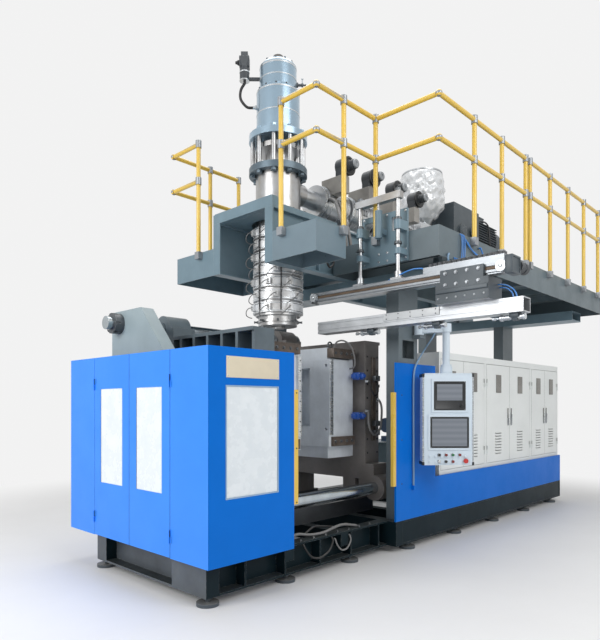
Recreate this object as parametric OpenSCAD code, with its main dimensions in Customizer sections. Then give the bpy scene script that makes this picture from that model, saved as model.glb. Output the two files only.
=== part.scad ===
/* [Base frame] */
// Length of the machine along the clamp direction
machine_l = 6260; // [5900:10:6600]
// Height of the underside of the base above the floor
base_z0 = 60; // [50:1:80]
// Top of the base frame above the floor
base_top = 286; // [270:1:300]
// Plate thickness of the base channels
base_plate = 15; // [10:1:20]
// Width of the channel flanges
base_flange = 110; // [90:1:120]
// Near edge of the narrow part of the base, measured from the cover's near face
base_y0 = 100; // [80:1:110]
// Far edge of the narrow part of the base
base_y1 = 1600; // [1560:5:1640]
// Setback of the base end behind the clamp cover's end
base_inset = 60; // [40:1:80]
// Radius of a levelling foot
foot_r = 78; // [70:1:85]
// Thickness of a levelling foot's pad
foot_t = 24; // [18:1:30]
// Radius of a levelling foot's stud
foot_stud_r = 16; // [12:1:20]
// Distance of the first feet from the cover's end
foot_inset_x = 115; // [110:1:125]
// Distance of the near row of feet from the cover's near face
foot_inset_y = 155; // [145:1:165]

/* [Clamp cover] */
// Length of the clamp cover along the machine
cover_l = 800; // [780:1:820]
// Width of the clamp cover across the machine
cover_w = 1966; // [1900:1:2000]
// Top of the covers above the floor
cover_top = 1750; // [1700:1:1780]
// Thickness of the cover sheet
sheet_t = 3; // [2:0.5:4]
// Depth of the folded edges
fold = 20; // [15:1:22]
// Width of the fixed cover sheets on the door side
cover_return = 432; // [415:1:450]
// Gap round a door
door_gap = 4; // [3:0.5:6]
// Width of a door window
window_w = 340; // [320:1:360]
// Lower edge of the windows above the floor
window_z0 = 730; // [700:1:760]
// Height of the windows
window_h = 760; // [720:1:780]
// Width of the window in the near cover
near_window_w = 484; // [460:1:500]
// Distance of the near window from the cover's corner
near_window_x = 149; // [140:1:160]
// Lap of a window pane behind its opening
pane_lap = 18; // [14:1:22]
// Thickness of a window pane
pane_t = 5; // [4:0.5:6]
// Radius of a door hinge's barrel
hinge_r = 7; // [6:0.5:8]
// Length of a door hinge
hinge_l = 90; // [80:1:100]

/* [Right cover and cabinets] */
// Start of the right cover along the machine
right_x0 = 2139; // [2120:1:2150]
// Width of the high part of the right cover
right_high_w = 690; // [670:1:700]
// Top of the low part of the right cover
right_low_top = 646; // [630:1:660]
// Width of a light curtain strip
strip_w = 44; // [38:1:50]
// Height of a light curtain strip
strip_h = 860; // [820:1:900]
// Bottom of a light curtain strip
strip_z0 = 615; // [600:1:640]
// Start of the electric cabinets along the machine
cab_x0 = 2960; // [2950:1:2970]
// Width of the first electric cabinet
cab_w1 = 1036; // [1000:1:1060]
// Width of the second electric cabinet
cab_w2 = 1298; // [1270:1:1320]
// Top of the electric cabinets above the floor
cab_top = 1905; // [1880:1:1940]
// Depth of the electric cabinets
cab_d = 500; // [460:1:520]
// Distance of the cabinets' doors behind the near cover plane
cab_setback = 34; // [30:1:40]
// Thickness of a cabinet door's sheet
cab_door_t = 3; // [2:0.5:4]
// Depth of a cabinet door's folded edge
cab_fold = 18; // [15:1:20]
// Height of the kick panel under the cabinet doors
cab_kick = 40; // [30:1:60]
// Height of the crown above the cabinet doors
cab_crown = 70; // [60:1:90]
// Number of louvres in one stack
louvre_n = 8; // [6:1:9]

/* [Clamp] */
// Length of the clamp's centre from the cover's end
clamp_x = 1590; // [1580:1:1600]
// Height of the clamp's centre
clamp_z = 1320; // [1310:1:1330]
// Distance of the tie bars inside the covers' long sides
bar_inset = 300; // [294:1:310]
// Half of the height between the tie bars
bar_dz = 755; // [745:1:765]
// Radius of a tie bar
bar_r = 58; // [54:1:60]
// Radial running clearance of a tie bar in its bushes
bar_fit = 0.1; // [0.08:0.01:0.1]
// Travel of each half of the clamp
clamp_travel = 190; // [150:5:190]
// Distance of each mould half from the centre, with the clamp open
mould_gap = 190; // [190:1:200]
// Depth of a mould half
mould_d = 360; // [340:1:370]
// Width of a mould half
mould_w = 980; // [940:5:1000]
// Height of a mould half's body
mould_h = 715; // [690:1:720]
// Lower face of the mould bodies above the floor
mould_z0 = 1075; // [1065:1:1085]
// Height of the block under a mould half
mould_foot_h = 215; // [200:1:225]
// Height of the block above a mould half
mould_head_h = 110; // [90:1:120]
// Radius of the moulded drum
cavity_r = 240; // [220:1:250]
// Height of the moulded drum
cavity_h = 560; // [540:1:580]
// Radius of the drum's neck
neck_r = 60; // [50:1:70]
// Thickness of the backing plate between a mould half and its platen
riser_t = 60; // [50:1:70]
// Thickness of a platen
platen_t = 240; // [220:1:250]
// Width of a platen
platen_w = 1166; // [1150:1:1180]
// Lower edge of a platen above the floor
platen_z0 = 640; // [630:1:650]
// Upper edge of a platen above the floor
platen_top = 1985; // [1970:1:2000]
// Thickness of a platen's face plate
platen_face = 60; // [50:1:70]
// Thickness of a platen's ribs
rib_t = 30; // [24:1:34]
// Number of upright ribs in a platen
rib_n = 5; // [4:1:6]
// Radius of the lugs that take the tie bars
lug_r = 120; // [110:1:125]
// Thickness of the yoke behind the clamp cylinder
yoke_t = 120; // [110:1:130]
// Width of the yoke, measured across the machine
yoke_w = 480; // [460:5:500]
// Distance of the yoke from the cover's end
yoke_x = 300; // [296:1:310]
// Length of a tie bar nut
nut_l = 80; // [70:1:82]
// Length of the upper tie bar beyond its nut
bar_tail = 55; // [40:1:60]
// Radius of the clamp cylinder
cyl_r = 150; // [140:1:160]
// Radius of the clamp cylinder's rod
rod_r = 70; // [65:1:80]
// Length of the clamp cylinder in front of the yoke
cyl_front = 250; // [240:1:258]
// Length of the clamp cylinder behind the yoke
cyl_back = 80; // [70:1:84]
// Height of the bed rails
rail_h = 144; // [130:1:150]
// Width of a bed rail
rail_w = 90; // [80:1:100]
// Half of the distance between the bed rails
rail_dy = 380; // [370:1:390]
// Running gap under the platen shoes
shoe_gap = 0.3; // [0.3:0.05:0.5]

/* [Platform] */
// Floor level of the platform
floor_z = 2850; // [2830:1:2870]
// Height of the walkway trays
tray_h = 255; // [240:1:260]
// Thickness of the tray sheet
tray_t = 6; // [5:0.5:8]
// Start of the walkways along the machine
walk_x0 = 1125; // [1115:1:1130]
// Length of the near walkway
near_walk_l = 375; // [360:1:385]
// Length of the far walkway
far_walk_l = 880; // [860:10:960]
// Near edge of the near walkway
near_walk_y0 = 72; // [62:1:80]
// Far edge of the far walkway
far_walk_y1 = 1985; // [1970:1:2000]
// Start of the gallery along the machine
gallery_x0 = 1930; // [1925:1:1940]
// Near edge of the gallery
gallery_y0 = -560; // [-570:1:-550]
// Height of the main beams
beam_h = 480; // [460:1:490]
// Width of the main beams
beam_w = 98; // [90:1:105]
// Web and flange thickness of the main beams
beam_t = 14; // [12:1:18]
// Distance of a main beam's outer face from the centre plane
beam_dy = 408; // [400:1:415]
// Length of a column's side along the machine
column_l = 320; // [300:1:330]
// Width of a column
column_w = 140; // [130:1:144]
// Wall thickness of a column
column_t = 12; // [10:1:16]
// Start of the first columns along the machine
column_x0 = 2220; // [2200:1:2230]
// Start of the second columns along the machine
column_x1 = 5640; // [5600:10:5700]

/* [Railings] */
// Radius of the railing tube
rail_tube_r = 21; // [18:1:24]
// Height of the top rail above the floor
rail_top = 1050; // [1000:10:1100]
// Height of the middle rail above the floor
rail_mid = 690; // [650:10:720]
// Radius of the railing joints
rail_joint_r = 29; // [27:1:32]
// Length of a railing joint
rail_joint_l = 70; // [60:1:80]
// Length of a post below the floor edge
post_drop = 70; // [60:1:80]

/* [Head] */
// Half length of the head's carrier plate
carrier_half = 400; // [390:5:410]
// Radius of the accumulator barrel
head_r = 215; // [205:1:220]
// Height of the die's underside
die_z = 2113; // [2105:1:2120]
// Radius of the die ring
die_r = 183; // [175:1:190]
// Height of the die ring
die_h = 90; // [80:1:100]
// Radius of the die's bore
die_bore_r = 70; // [65:1:75]
// Radius of the die pin
die_pin_r = 55; // [50:1:60]
// Travel of the die pin
die_travel = 40; // [30:1:45]
// Radius of a heater band
band_r = 240; // [232:1:244]
// Height of a heater band
band_h = 96; // [90:1:100]
// Gap between heater bands
band_gap = 22; // [18:1:26]
// Number of heater bands
band_n = 7; // [6:1:7]
// Top of the accumulator barrel
barrel_top = 3550; // [3540:1:3560]
// Thickness of the head's flanges
head_flange_t = 62; // [55:1:70]
// Radius of the head's flanges
head_flange_r = 280; // [270:1:290]
// Height of the open space between the head's flanges
head_window_h = 258; // [250:1:265]
// Number of columns between the head's flanges
head_column_n = 10; // [8:1:12]
// Radius of those columns
head_column_r = 21; // [18:1:24]
// Radius of the circle on which they stand
head_column_pitch = 245; // [240:1:250]
// Radius of the push cylinder
push_r = 208; // [200:1:215]
// Height of the push cylinder's wide part
push_h = 420; // [400:5:430]
// Radius of the push cylinder's upper part
push_top_r = 178; // [170:1:185]
// Height of the push cylinder's upper part
push_top_h = 245; // [230:1:260]
// Travel of the plunger ring
plunger_travel = 120; // [100:5:130]

/* [Extruder] */
// Height of the extruder's axis
screw_z = 3450; // [3430:1:3460]
// Radius of the extruder barrel
barrel_r = 95; // [88:1:100]
// Radius of the extruder's heater shroud
shroud_r = 165; // [155:1:170]
// Length of one shroud
shroud_l = 400; // [380:1:410]
// Distance from one barrel zone to the next
zone_pitch = 440; // [430:1:450]
// Number of barrel zones
zone_n = 4; // [3:1:4]
// Start of the first barrel zone
zone_x0 = 2100; // [2090:1:2110]
// Radius of a blower housing
blower_r = 92; // [85:1:96]
// Width of a blower housing
blower_w = 110; // [100:1:120]
// Height of the blowers' axis
blower_z = 3790; // [3780:1:3800]
// Distance of the blowers' near face from the centre plane
blower_dy = 300; // [290:1:310]
// Place of the hopper along the machine
hopper_x = 4170; // [4150:1:4180]
// Radius of the hopper
hopper_r = 250; // [240:1:260]
// Height of the hopper's straight part
hopper_h = 420; // [400:5:440]
// Height of the hopper's cone
hopper_cone_h = 260; // [240:5:280]
// Thickness of the hopper's wall
hopper_t = 4; // [3:0.5:5]
// Start of the gearbox along the machine
gear_x0 = 4480; // [4470:1:4490]
// Length of the gearbox
gear_l = 700; // [680:1:720]
// Height of the gearbox
gear_h = 920; // [900:5:940]
// Width of the gearbox
gear_w = 560; // [540:5:580]
// Length of the motor
motor_l = 780; // [760:5:800]
// Side of the motor's square body
motor_w = 440; // [420:5:450]

/* [Take-out unit] */
// Distance of the lift unit's rods along the machine
lift_x = 1820; // [1815:1:1825]
// Place of the lift unit's centre across the machine
lift_y = -35; // [-40:1:-30]
// Distance between the lift rods
lift_pitch = 400; // [390:1:410]
// Radius of a lift rod
lift_rod_r = 19; // [16:1:21]
// Radial clearance of a lift rod in its guides
lift_fit = 0.1; // [0.08:0.01:0.1]
// Top of the lift frame
lift_top = 3170; // [3160:1:3180]
// Travel of the lift frame
lift_travel = 120; // [100:5:120]
// Top of the upper take-out beam
take_z = 2420; // [2410:1:2425]
// Width of the upper take-out beam
take_w = 80; // [74:1:90]
// Height of the upper take-out beam
take_h = 90; // [80:1:95]
// Near end of the upper take-out beam
take_y0 = -1200; // [-1220:5:-1180]
// Far end of the upper take-out beam
take_y1 = 700; // [680:5:710]
// Length of the lower take-out beam
arm_l = 1990; // [1950:5:2000]
// Height of the lower take-out beam
arm_h = 110; // [100:1:115]
// Width of the lower take-out beam
arm_w = 130; // [120:1:140]
// Top of the lower take-out beam
arm_z = 2150; // [2140:1:2155]
// Travel of the carriage
take_travel = 450; // [400:10:500]

/* [Operator panel] */
// Place of the panel's post along the machine
panel_x = 2600; // [2590:1:2620]
// Place of the panel's post across the machine
panel_y = -250; // [-260:1:-245]
// Turn of the panel about its post
panel_turn = -46; // [-60:1:-30]
// Width of the panel
panel_w = 450; // [430:1:455]
// Height of the panel
panel_h = 850; // [830:1:870]
// Depth of the panel
panel_d = 150; // [140:1:160]
// Underside of the panel above the floor
panel_z0 = 800; // [780:1:810]
// Radius of the panel's post
panel_post_r = 34; // [30:1:38]
// Height of the boom that carries the post
boom_z = 2085; // [2075:1:2100]
// Radius of a push button
button_r = 13; // [11:1:14]
// Travel of the stop button
stop_travel = 5; // [4:0.5:6]

/* [Hydraulics] */
// Length of the oil tank
tank_l = 1700; // [1600:10:1800]
// Distance of the oil tank from the first cabinet's side
tank_inset = 400; // [380:5:420]
// Width of the oil tank
tank_w = 760; // [740:5:780]
// Height of the oil tank
tank_h = 620; // [600:5:640]
// Radius of the pump motor
pump_r = 160; // [150:1:170]

/* [Hidden] */
edge = 1;
bore_fn = 64;
hinge_out = hinge_r + 0.3;
seat_gap = 0.3;
centre_y = cover_w / 2;
bar_dy = centre_y - bar_inset;
beam_z0 = floor_z - tray_h;
beam_top = beam_z0 + beam_h;
girder_h = 120;
near_beam_y0 = centre_y - beam_dy;
far_beam_y1 = centre_y + beam_dy;
rail_top_z = base_top + rail_h;
low_bar_y = centre_y - bar_dy;
low_bar_z = clamp_z - bar_dz;
high_bar_y = centre_y + bar_dy;
high_bar_z = clamp_z + bar_dz;
mould_right_x = clamp_x + mould_gap;
mould_left_x = clamp_x - mould_gap - mould_d;
platen_right_x = mould_right_x + mould_d + riser_t;
platen_left_x = mould_left_x - riser_t - platen_t;
platen_y0 = centre_y - platen_w / 2;
platen_y1 = centre_y + platen_w / 2;
mould_y0 = centre_y - mould_w / 2;
door_z0 = base_top + door_gap;
cab_front = cab_setback;
cab_x = [cab_x0, cab_x0 + cab_w1, cab_x0 + cab_w1 + cab_w2, machine_l];
cab_wall = 3;
cab_stile = 30;
cab_door_z0 = right_low_top + cab_kick;
cab_door_z1 = cab_top - cab_crown;
carrier_top = beam_top + 40;
lower_flange_z = barrel_top;
upper_flange_z = barrel_top + head_flange_t + head_window_h;
push_z = upper_flange_z + head_flange_t;
hopper_z = screw_z + 170;
take_x = lift_x - take_w / 2;
take_bottom = take_z - take_h;
arm_x = lift_x + 16;
carriage_y0 = take_y0 + 160;
carriage_l = 360;
plate_x = gallery_x0 - 18;

module at_datum() {
  translate([-foot_inset_x, -foot_inset_y, 0]) children();
}

module block(a, b) {
  translate(a) cube([b[0] - a[0], b[1] - a[1], b[2] - a[2]]);
}

module rod_x(x0, x1, y, z, r) {
  translate([x0, y, z]) rotate([0, 90, 0]) cylinder(r = r, h = x1 - x0, $fn = bore_fn);
}

module rod_y(x, y0, y1, z, r) {
  translate([x, y0, z]) rotate([-90, 0, 0]) cylinder(r = r, h = y1 - y0, $fn = bore_fn);
}

module rod_z(x, y, z0, z1, r) {
  translate([x, y, z0]) cylinder(r = r, h = z1 - z0, $fn = bore_fn);
}

// Base channel along x, open towards the near side
module channel_x(x0, x1, y0, web_y) {
  block([x0, y0, base_z0], [x1, y0 + base_flange, base_z0 + base_plate]);
  block([x0, y0, base_top - base_plate], [x1, y0 + base_flange, base_top]);
  block([x0, web_y, base_z0], [x1, web_y + base_plate, base_top]);
}

base_cross_x = [cover_l, (cover_l + right_x0) / 2, (right_x0 + cab_x0) / 2 + 60,
  (cab_x[1] + cab_x0) / 2 + 100, cab_x[1] + 300, column_x1 + 110];
base_left_x = base_inset;
foot_left_x = [foot_inset_x, cover_l + 60, (cover_l + right_x0) / 2 + 180];
foot_left_inset = 260;
foot_right_n = 5;
foot_right_pitch = (machine_l - right_x0 - 2 * foot_left_inset) / (foot_right_n - 1);
foot_far_y = base_y1 - base_flange / 2;

module base_frame() {
  color([0.07, 0.10, 0.13]) at_datum() {
    // Narrow part under the clamp, with gussets in its open side
    channel_x(base_left_x, right_x0, base_y0, base_y0 + base_flange - base_plate);
    channel_x(base_left_x, right_x0, base_y1 - base_flange, base_y1 - base_flange);
    for (x = [cover_l / 2 : cover_l / 2 : right_x0 - 1]) {
      block([x, base_y0, base_z0], [x + base_plate, base_y0 + base_flange, base_top]);
    }
    // Recessed end panel between two legs
    block([base_left_x + 95, base_y0, base_z0], [base_left_x + 110, base_y1, base_top]);
    block([base_left_x, base_y0, base_z0], [base_left_x + 110, base_y1, base_z0 + base_plate]);
    block([base_left_x, base_y0, base_top - base_plate], [base_left_x + 110, base_y1, base_top]);
    difference() {
      block([base_left_x, base_y0, base_z0], [base_left_x + 110, base_y0 + 400, base_top]);
      block([base_left_x + base_plate, base_y0 + base_plate, base_z0 - edge],
        [base_left_x + 95, base_y0 + 385, base_top - base_plate]);
    }
    block([base_left_x, base_y1 - 150, base_z0], [base_left_x + 110, base_y1, base_top]);
    // Wide part under the covers and cabinets
    channel_x(right_x0, machine_l, 0, 6);
    channel_x(right_x0, machine_l, cover_w - base_flange, cover_w - base_plate);
    block([right_x0, 0, base_z0], [right_x0 + base_flange, cover_w, base_top]);
    block([machine_l - base_plate, 0, base_z0], [machine_l, cover_w, base_top]);
    block([machine_l - base_flange, 0, base_top - base_plate], [machine_l, cover_w, base_top]);
    for (i = [0 : 1]) {
      block([base_cross_x[i], base_y0, base_top - 120], [base_cross_x[i] + 100, base_y1, base_top]);
    }
    for (i = [2 : len(base_cross_x) - 1]) {
      block([base_cross_x[i], 6, base_top - 120],
        [base_cross_x[i] + 100, cover_w - base_plate, base_top]);
    }
  }
}

// Levelling foot with its pad on the floor and its stud under the base
module foot(x, y) {
  translate([x, y, 0]) {
    cylinder(r = foot_r, h = foot_t, $fn = bore_fn);
    cylinder(r = foot_stud_r, h = base_z0, $fn = bore_fn);
    translate([0, 0, base_z0 - 18]) cylinder(r = foot_stud_r * 2, h = 18, $fn = 6);
  }
}

module levelling_feet() {
  color([0.13, 0.16, 0.19]) at_datum() {
    for (x = foot_left_x) {
      foot(x, foot_inset_y);
      foot(x, foot_far_y);
    }
    for (i = [0 : foot_right_n - 1]) {
      foot(right_x0 + foot_left_inset + i * foot_right_pitch, base_flange / 2);
      foot(right_x0 + foot_left_inset + i * foot_right_pitch, cover_w - base_flange / 2);
    }
  }
}

module bed_rails() {
  color([0.25, 0.27, 0.29]) at_datum() {
    for (side = [-1, 1]) {
      difference() {
        block([base_left_x + 110, centre_y + side * rail_dy - rail_w / 2, base_top],
          [cab_x0 - 420, centre_y + side * rail_dy + rail_w / 2, rail_top_z]);
        block([base_left_x + 100, centre_y + side * rail_dy - rail_w / 2 + 12, base_top + 12],
          [cab_x0 - 410, centre_y + side * rail_dy + rail_w / 2 - 12, rail_top_z - 24]);
      }
    }
  }
}

// Half of a lift-off hinge. The fixed half carries the pin and the moving half the bore.
module hinge_half(moving) {
  knuckle = hinge_l / 2;
  difference() {
    union() {
      translate([0, 0, moving ? 0.3 : -knuckle])
        cylinder(r = hinge_r, h = knuckle - 0.3, $fn = bore_fn);
      translate([hinge_out - sheet_t, moving ? 0 : -24, moving ? 0.3 : -knuckle])
        cube([sheet_t, 24, knuckle - 0.3]);
    }
    if (moving) {
      translate([0, 0, -edge]) cylinder(r = hinge_r / 2 + 0.1, h = knuckle - 8, $fn = bore_fn);
    }
  }
  if (!moving) {
    translate([0, 0, -edge]) cylinder(r = hinge_r / 2, h = knuckle - 12, $fn = bore_fn);
  }
}

// Places a hinge half on the seam at y, with the door on the side given by turn
module cover_hinge(y, side, moving) {
  for (z = [door_z0 + 150, cover_top - 220]) {
    translate([-hinge_out, y, z]) scale_side(side) hinge_half(moving);
  }
}

module scale_side(side) {
  if (side > 0) {
    children();
  } else {
    mirror([0, 1, 0]) children();
  }
}

cover_near_seam = cover_return + door_gap / 2;
cover_far_seam = cover_w - cover_return - door_gap / 2;
cover_shelf = base_y0 + 25;

// Folded corner sheet in the near corner. The far one is its mirror image.
module corner_sheet() {
  block([0, 0, base_top], [cover_l, sheet_t, cover_top]);
  block([0, 0, base_top], [sheet_t, cover_return, cover_top]);
  // Top, end and door folds
  block([0, 0, cover_top - sheet_t], [cover_l, fold, cover_top]);
  block([0, 0, cover_top - sheet_t], [fold, cover_return, cover_top]);
  block([cover_l - sheet_t, 0, base_top], [cover_l, fold, cover_top]);
  block([0, cover_return - sheet_t, base_top], [fold, cover_return, cover_top]);
  // Shelf that stands on the base
  block([0, 0, base_top], [cover_l, cover_shelf, base_top + sheet_t]);
  block([0, 0, base_top], [cover_shelf, cover_return, base_top + sheet_t]);
}

module cover_near() {
  color([0.05, 0.42, 0.86]) at_datum() {
    difference() {
      corner_sheet();
      block([near_window_x, -edge, window_z0],
        [near_window_x + near_window_w, sheet_t + edge, window_z0 + window_h]);
    }
    cover_hinge(cover_near_seam, 1, false);
  }
}

module cover_far() {
  color([0.05, 0.42, 0.86]) at_datum() {
    translate([0, cover_w, 0]) mirror([0, 1, 0]) corner_sheet();
    cover_hinge(cover_far_seam, -1, false);
  }
}

module cover_window() {
  color([0.88, 0.92, 0.94]) at_datum()
    block([near_window_x - pane_lap, sheet_t, window_z0 - pane_lap],
      [near_window_x + near_window_w + pane_lap, sheet_t + pane_t, window_z0 + window_h + pane_lap]);
}

// Folded door sheet from y0 to y1, with a window
module door_sheet(y0, y1) {
  middle = (y0 + y1) / 2;
  difference() {
    block([0, y0, door_z0], [fold, y1, cover_top]);
    block([sheet_t, y0 + sheet_t, door_z0 + sheet_t], [fold + edge, y1 - sheet_t, cover_top - sheet_t]);
    block([-edge, middle - window_w / 2, window_z0],
      [sheet_t + edge, middle + window_w / 2, window_z0 + window_h]);
  }
}

module door_pane(y0, y1) {
  middle = (y0 + y1) / 2;
  block([sheet_t, middle - window_w / 2 - pane_lap, window_z0 - pane_lap],
    [sheet_t + pane_t, middle + window_w / 2 + pane_lap, window_z0 + window_h + pane_lap]);
}

near_door_y0 = cover_return + door_gap;
near_door_y1 = centre_y - door_gap / 2;
far_door_y0 = centre_y + door_gap / 2;
far_door_y1 = cover_w - cover_return - door_gap;

module door_near() {
  color([0.20, 0.52, 0.95]) at_datum() {
    door_sheet(near_door_y0, near_door_y1);
    cover_hinge(cover_near_seam, 1, true);
  }
}

module door_far() {
  color([0.20, 0.52, 0.95]) at_datum() {
    door_sheet(far_door_y0, far_door_y1);
    cover_hinge(cover_far_seam, -1, true);
  }
}

module door_window_near() {
  color([0.88, 0.92, 0.94]) at_datum() door_pane(near_door_y0, near_door_y1);
}

module door_window_far() {
  color([0.88, 0.92, 0.94]) at_datum() door_pane(far_door_y0, far_door_y1);
}

module right_cover() {
  high_x = right_x0 + right_high_w;
  color([0.05, 0.42, 0.86]) at_datum() {
    block([right_x0, 0, base_top], [machine_l, sheet_t, right_low_top]);
    block([right_x0, 0, base_top], [high_x, sheet_t, cover_top]);
    block([right_x0, 0, cover_top - sheet_t], [high_x, fold, cover_top]);
    block([high_x - sheet_t, 0, right_low_top - sheet_t], [high_x, fold, cover_top]);
    block([high_x - sheet_t, 0, right_low_top - sheet_t], [machine_l, fold, right_low_top]);
    block([right_x0, 0, base_top], [right_x0 + sheet_t, fold, cover_top]);
    block([machine_l - sheet_t, 0, base_top], [machine_l, fold, right_low_top]);
    block([right_x0, 0, base_top], [machine_l, fold, base_top + sheet_t]);
    // Gland of the cable
    block(cable_end - [16, 14, 40], [cable_end[0] + 16, -seat_gap, cable_end[2]]);
  }
}

module guard_strips() {
  color([0.93, 0.80, 0.25]) at_datum() {
    block([cover_l, 0, strip_z0], [cover_l + strip_w, 30, strip_z0 + strip_h]);
    block([right_x0 - strip_w, 0, strip_z0], [right_x0, 30, strip_z0 + strip_h]);
  }
}

// Shells of the three electric cabinets, joined side by side
module cabinet_shells() {
  color([0.84, 0.86, 0.84]) at_datum() {
    difference() {
      block([cab_x[0], cab_front, base_top], [cab_x[3], cab_front + cab_d, cab_top]);
      for (i = [0 : 2]) {
        block([cab_x[i] + cab_wall, cab_front + cab_fold + cab_wall, base_top + cab_wall],
          [cab_x[i + 1] - cab_wall, cab_front + cab_d - cab_wall, cab_top - cab_wall]);
        block([cab_x[i] + cab_stile, cab_front - edge, cab_door_z0],
          [cab_x[i + 1] - cab_stile, cab_front + cab_fold + 2 * cab_wall, cab_door_z1]);
      }
    }
    for (i = [0 : 5]) cabinet_hinges(door_left(i), door_right(i), i % 2 == 0, false);
  }
}

// Hinge halves of the cabinet door from x0 to x1
module cabinet_hinges(x0, x1, left, moving) {
  hinge_x = left ? x0 - door_gap / 2 : x1 + door_gap / 2;
  for (z = [cab_door_z0 + 160, cab_door_z1 - 220]) {
    translate([hinge_x, cab_front - hinge_out, z]) rotate([0, 0, 90])
      mirror([0, left ? 1 : 0, 0]) hinge_half(moving);
  }
}

// Cabinet door from x0 to x1, hinged at its left edge, or at its right edge if turned
module cabinet_door(x0, x1, left) {
  w = x1 - x0;
  vent_w = 120;
  vent_x = w / 2 - vent_w / 2;
  h = cab_door_z1 - cab_door_z0 - 2 * door_gap;
  grip_x = left ? w - 55 : 35;
  translate([x0, cab_front, cab_door_z0 + door_gap]) {
    difference() {
      cube([w, cab_fold, h]);
      translate([cab_door_t, cab_door_t, cab_door_t])
        cube([w - 2 * cab_door_t, cab_fold, h - 2 * cab_door_t]);
      // Filter opening near the top
      translate([vent_x, -edge, h - 320]) cube([vent_w, cab_door_t + 2 * edge, 200]);
      // Louvre slots near the foot
      for (i = [0 : louvre_n - 1]) {
        translate([vent_x - 20, -edge, 90 + i * 34]) cube([vent_w + 40, cab_door_t + 2 * edge, 9]);
      }
    }
    // Filter grille bars
    for (i = [0 : 4]) {
      translate([vent_x, 0, h - 312 + i * 42]) cube([vent_w, cab_door_t, 26]);
    }
    translate([vent_x + vent_w / 2 - 6, 0, h - 320]) cube([12, cab_door_t, 200]);
    // Louvre hoods
    for (i = [0 : louvre_n - 1]) {
      translate([vent_x - 20, 0, 90 + i * 34 + 9]) rotate([0, 90, 0]) rotate([0, 0, 180])
        linear_extrude(height = vent_w + 40) polygon([[0, 0], [0, 7], [11, 0]]);
    }
    // Lever lock, in the stile beside the seam
    translate([grip_x, -14, h / 2 - 60]) cube([18, 14, 120]);
  }
  cabinet_hinges(x0, x1, left, true);
}

function door_left(i) = cab_x[floor(i / 2)] + (i % 2 == 0 ? cab_stile + door_gap
  : (cab_x[floor(i / 2) + 1] - cab_x[floor(i / 2)]) / 2 + door_gap / 2);
function door_right(i) = cab_x[floor(i / 2)] + (i % 2 == 0
  ? (cab_x[floor(i / 2) + 1] - cab_x[floor(i / 2)]) / 2 - door_gap / 2
  : cab_x[floor(i / 2) + 1] - cab_x[floor(i / 2)] - cab_stile - door_gap);

module cabinet_door_node(i) {
  color([0.86, 0.88, 0.86]) at_datum() cabinet_door(door_left(i), door_right(i), i % 2 == 0);
}

module cabinet_door_1() { cabinet_door_node(0); }
module cabinet_door_2() { cabinet_door_node(1); }
module cabinet_door_3() { cabinet_door_node(2); }
module cabinet_door_4() { cabinet_door_node(3); }
module cabinet_door_5() { cabinet_door_node(4); }
module cabinet_door_6() { cabinet_door_node(5); }

// Box column with a lightening hole in its outer faces
module column(x, y) {
  z1 = beam_z0 - girder_h;
  difference() {
    block([x, y, base_top], [x + column_l, y + column_w, z1]);
    block([x + column_t, y + column_t, base_top + column_t],
      [x + column_l - column_t, y + column_w - column_t, z1 - column_t]);
    block([x + 60, y - edge, cover_top + 50], [x + column_l - 60, y + column_w + edge, cover_top + 220]);
  }
}

column_near_y = fold + 6;
column_far_y = cover_w - column_w - 10;

module columns() {
  color([0.42, 0.50, 0.55]) at_datum() {
    for (x = [column_x0, column_x1]) {
      column(x, x == column_x0 ? column_near_y : cab_front + cab_d + 30);
      column(x, column_far_y);
    }
    // Bracket and pivot pin of the operator panel's boom
    block([boom_pivot_x - 40, boom_pivot_y - 40, boom_z - 90],
      [boom_pivot_x + 40, column_near_y - seat_gap, boom_z - 60]);
    rod_z(boom_pivot_x, boom_pivot_y, boom_z - 60, boom_z + 50, 20);
  }
}

boom_pivot_x = column_x0 + column_l - 60;
boom_pivot_y = -30;

module oil_tank() {
  color([0.35, 0.42, 0.48]) at_datum() {
    x0 = cab_x0 + tank_inset;
    y0 = cab_front + cab_d + 150;
    block([x0, y0, base_top], [x0 + tank_l, y0 + tank_w, base_top + tank_h]);
    block([x0 - 20, y0 - 20, base_top + tank_h], [x0 + tank_l + 20, y0 + tank_w + 20, base_top + tank_h + 10]);
    rod_z(x0 + tank_l - 150, y0 + 140, base_top + tank_h, base_top + tank_h + 90, 55);
  }
}

module pump_motor() {
  x0 = cab_x0 + 1.3 * tank_inset;
  y = cab_front + cab_d + 150 + tank_w / 2;
  z = base_top + tank_h + 10;
  color([0.30, 0.45, 0.60]) at_datum() {
    rod_x(x0 + 260, x0 + 800, y, z + 200, pump_r);
    rod_x(x0 + 140, x0 + 260, y, z + 200, pump_r * 0.7);
    rod_x(x0, x0 + 140, y, z + 200, pump_r * 0.55);
    rod_x(x0 + 800, x0 + 880, y, z + 200, pump_r * 0.92);
    block([x0 + 120, y - 150, z], [x0 + 800, y + 150, z + 60]);
  }
}

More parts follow.
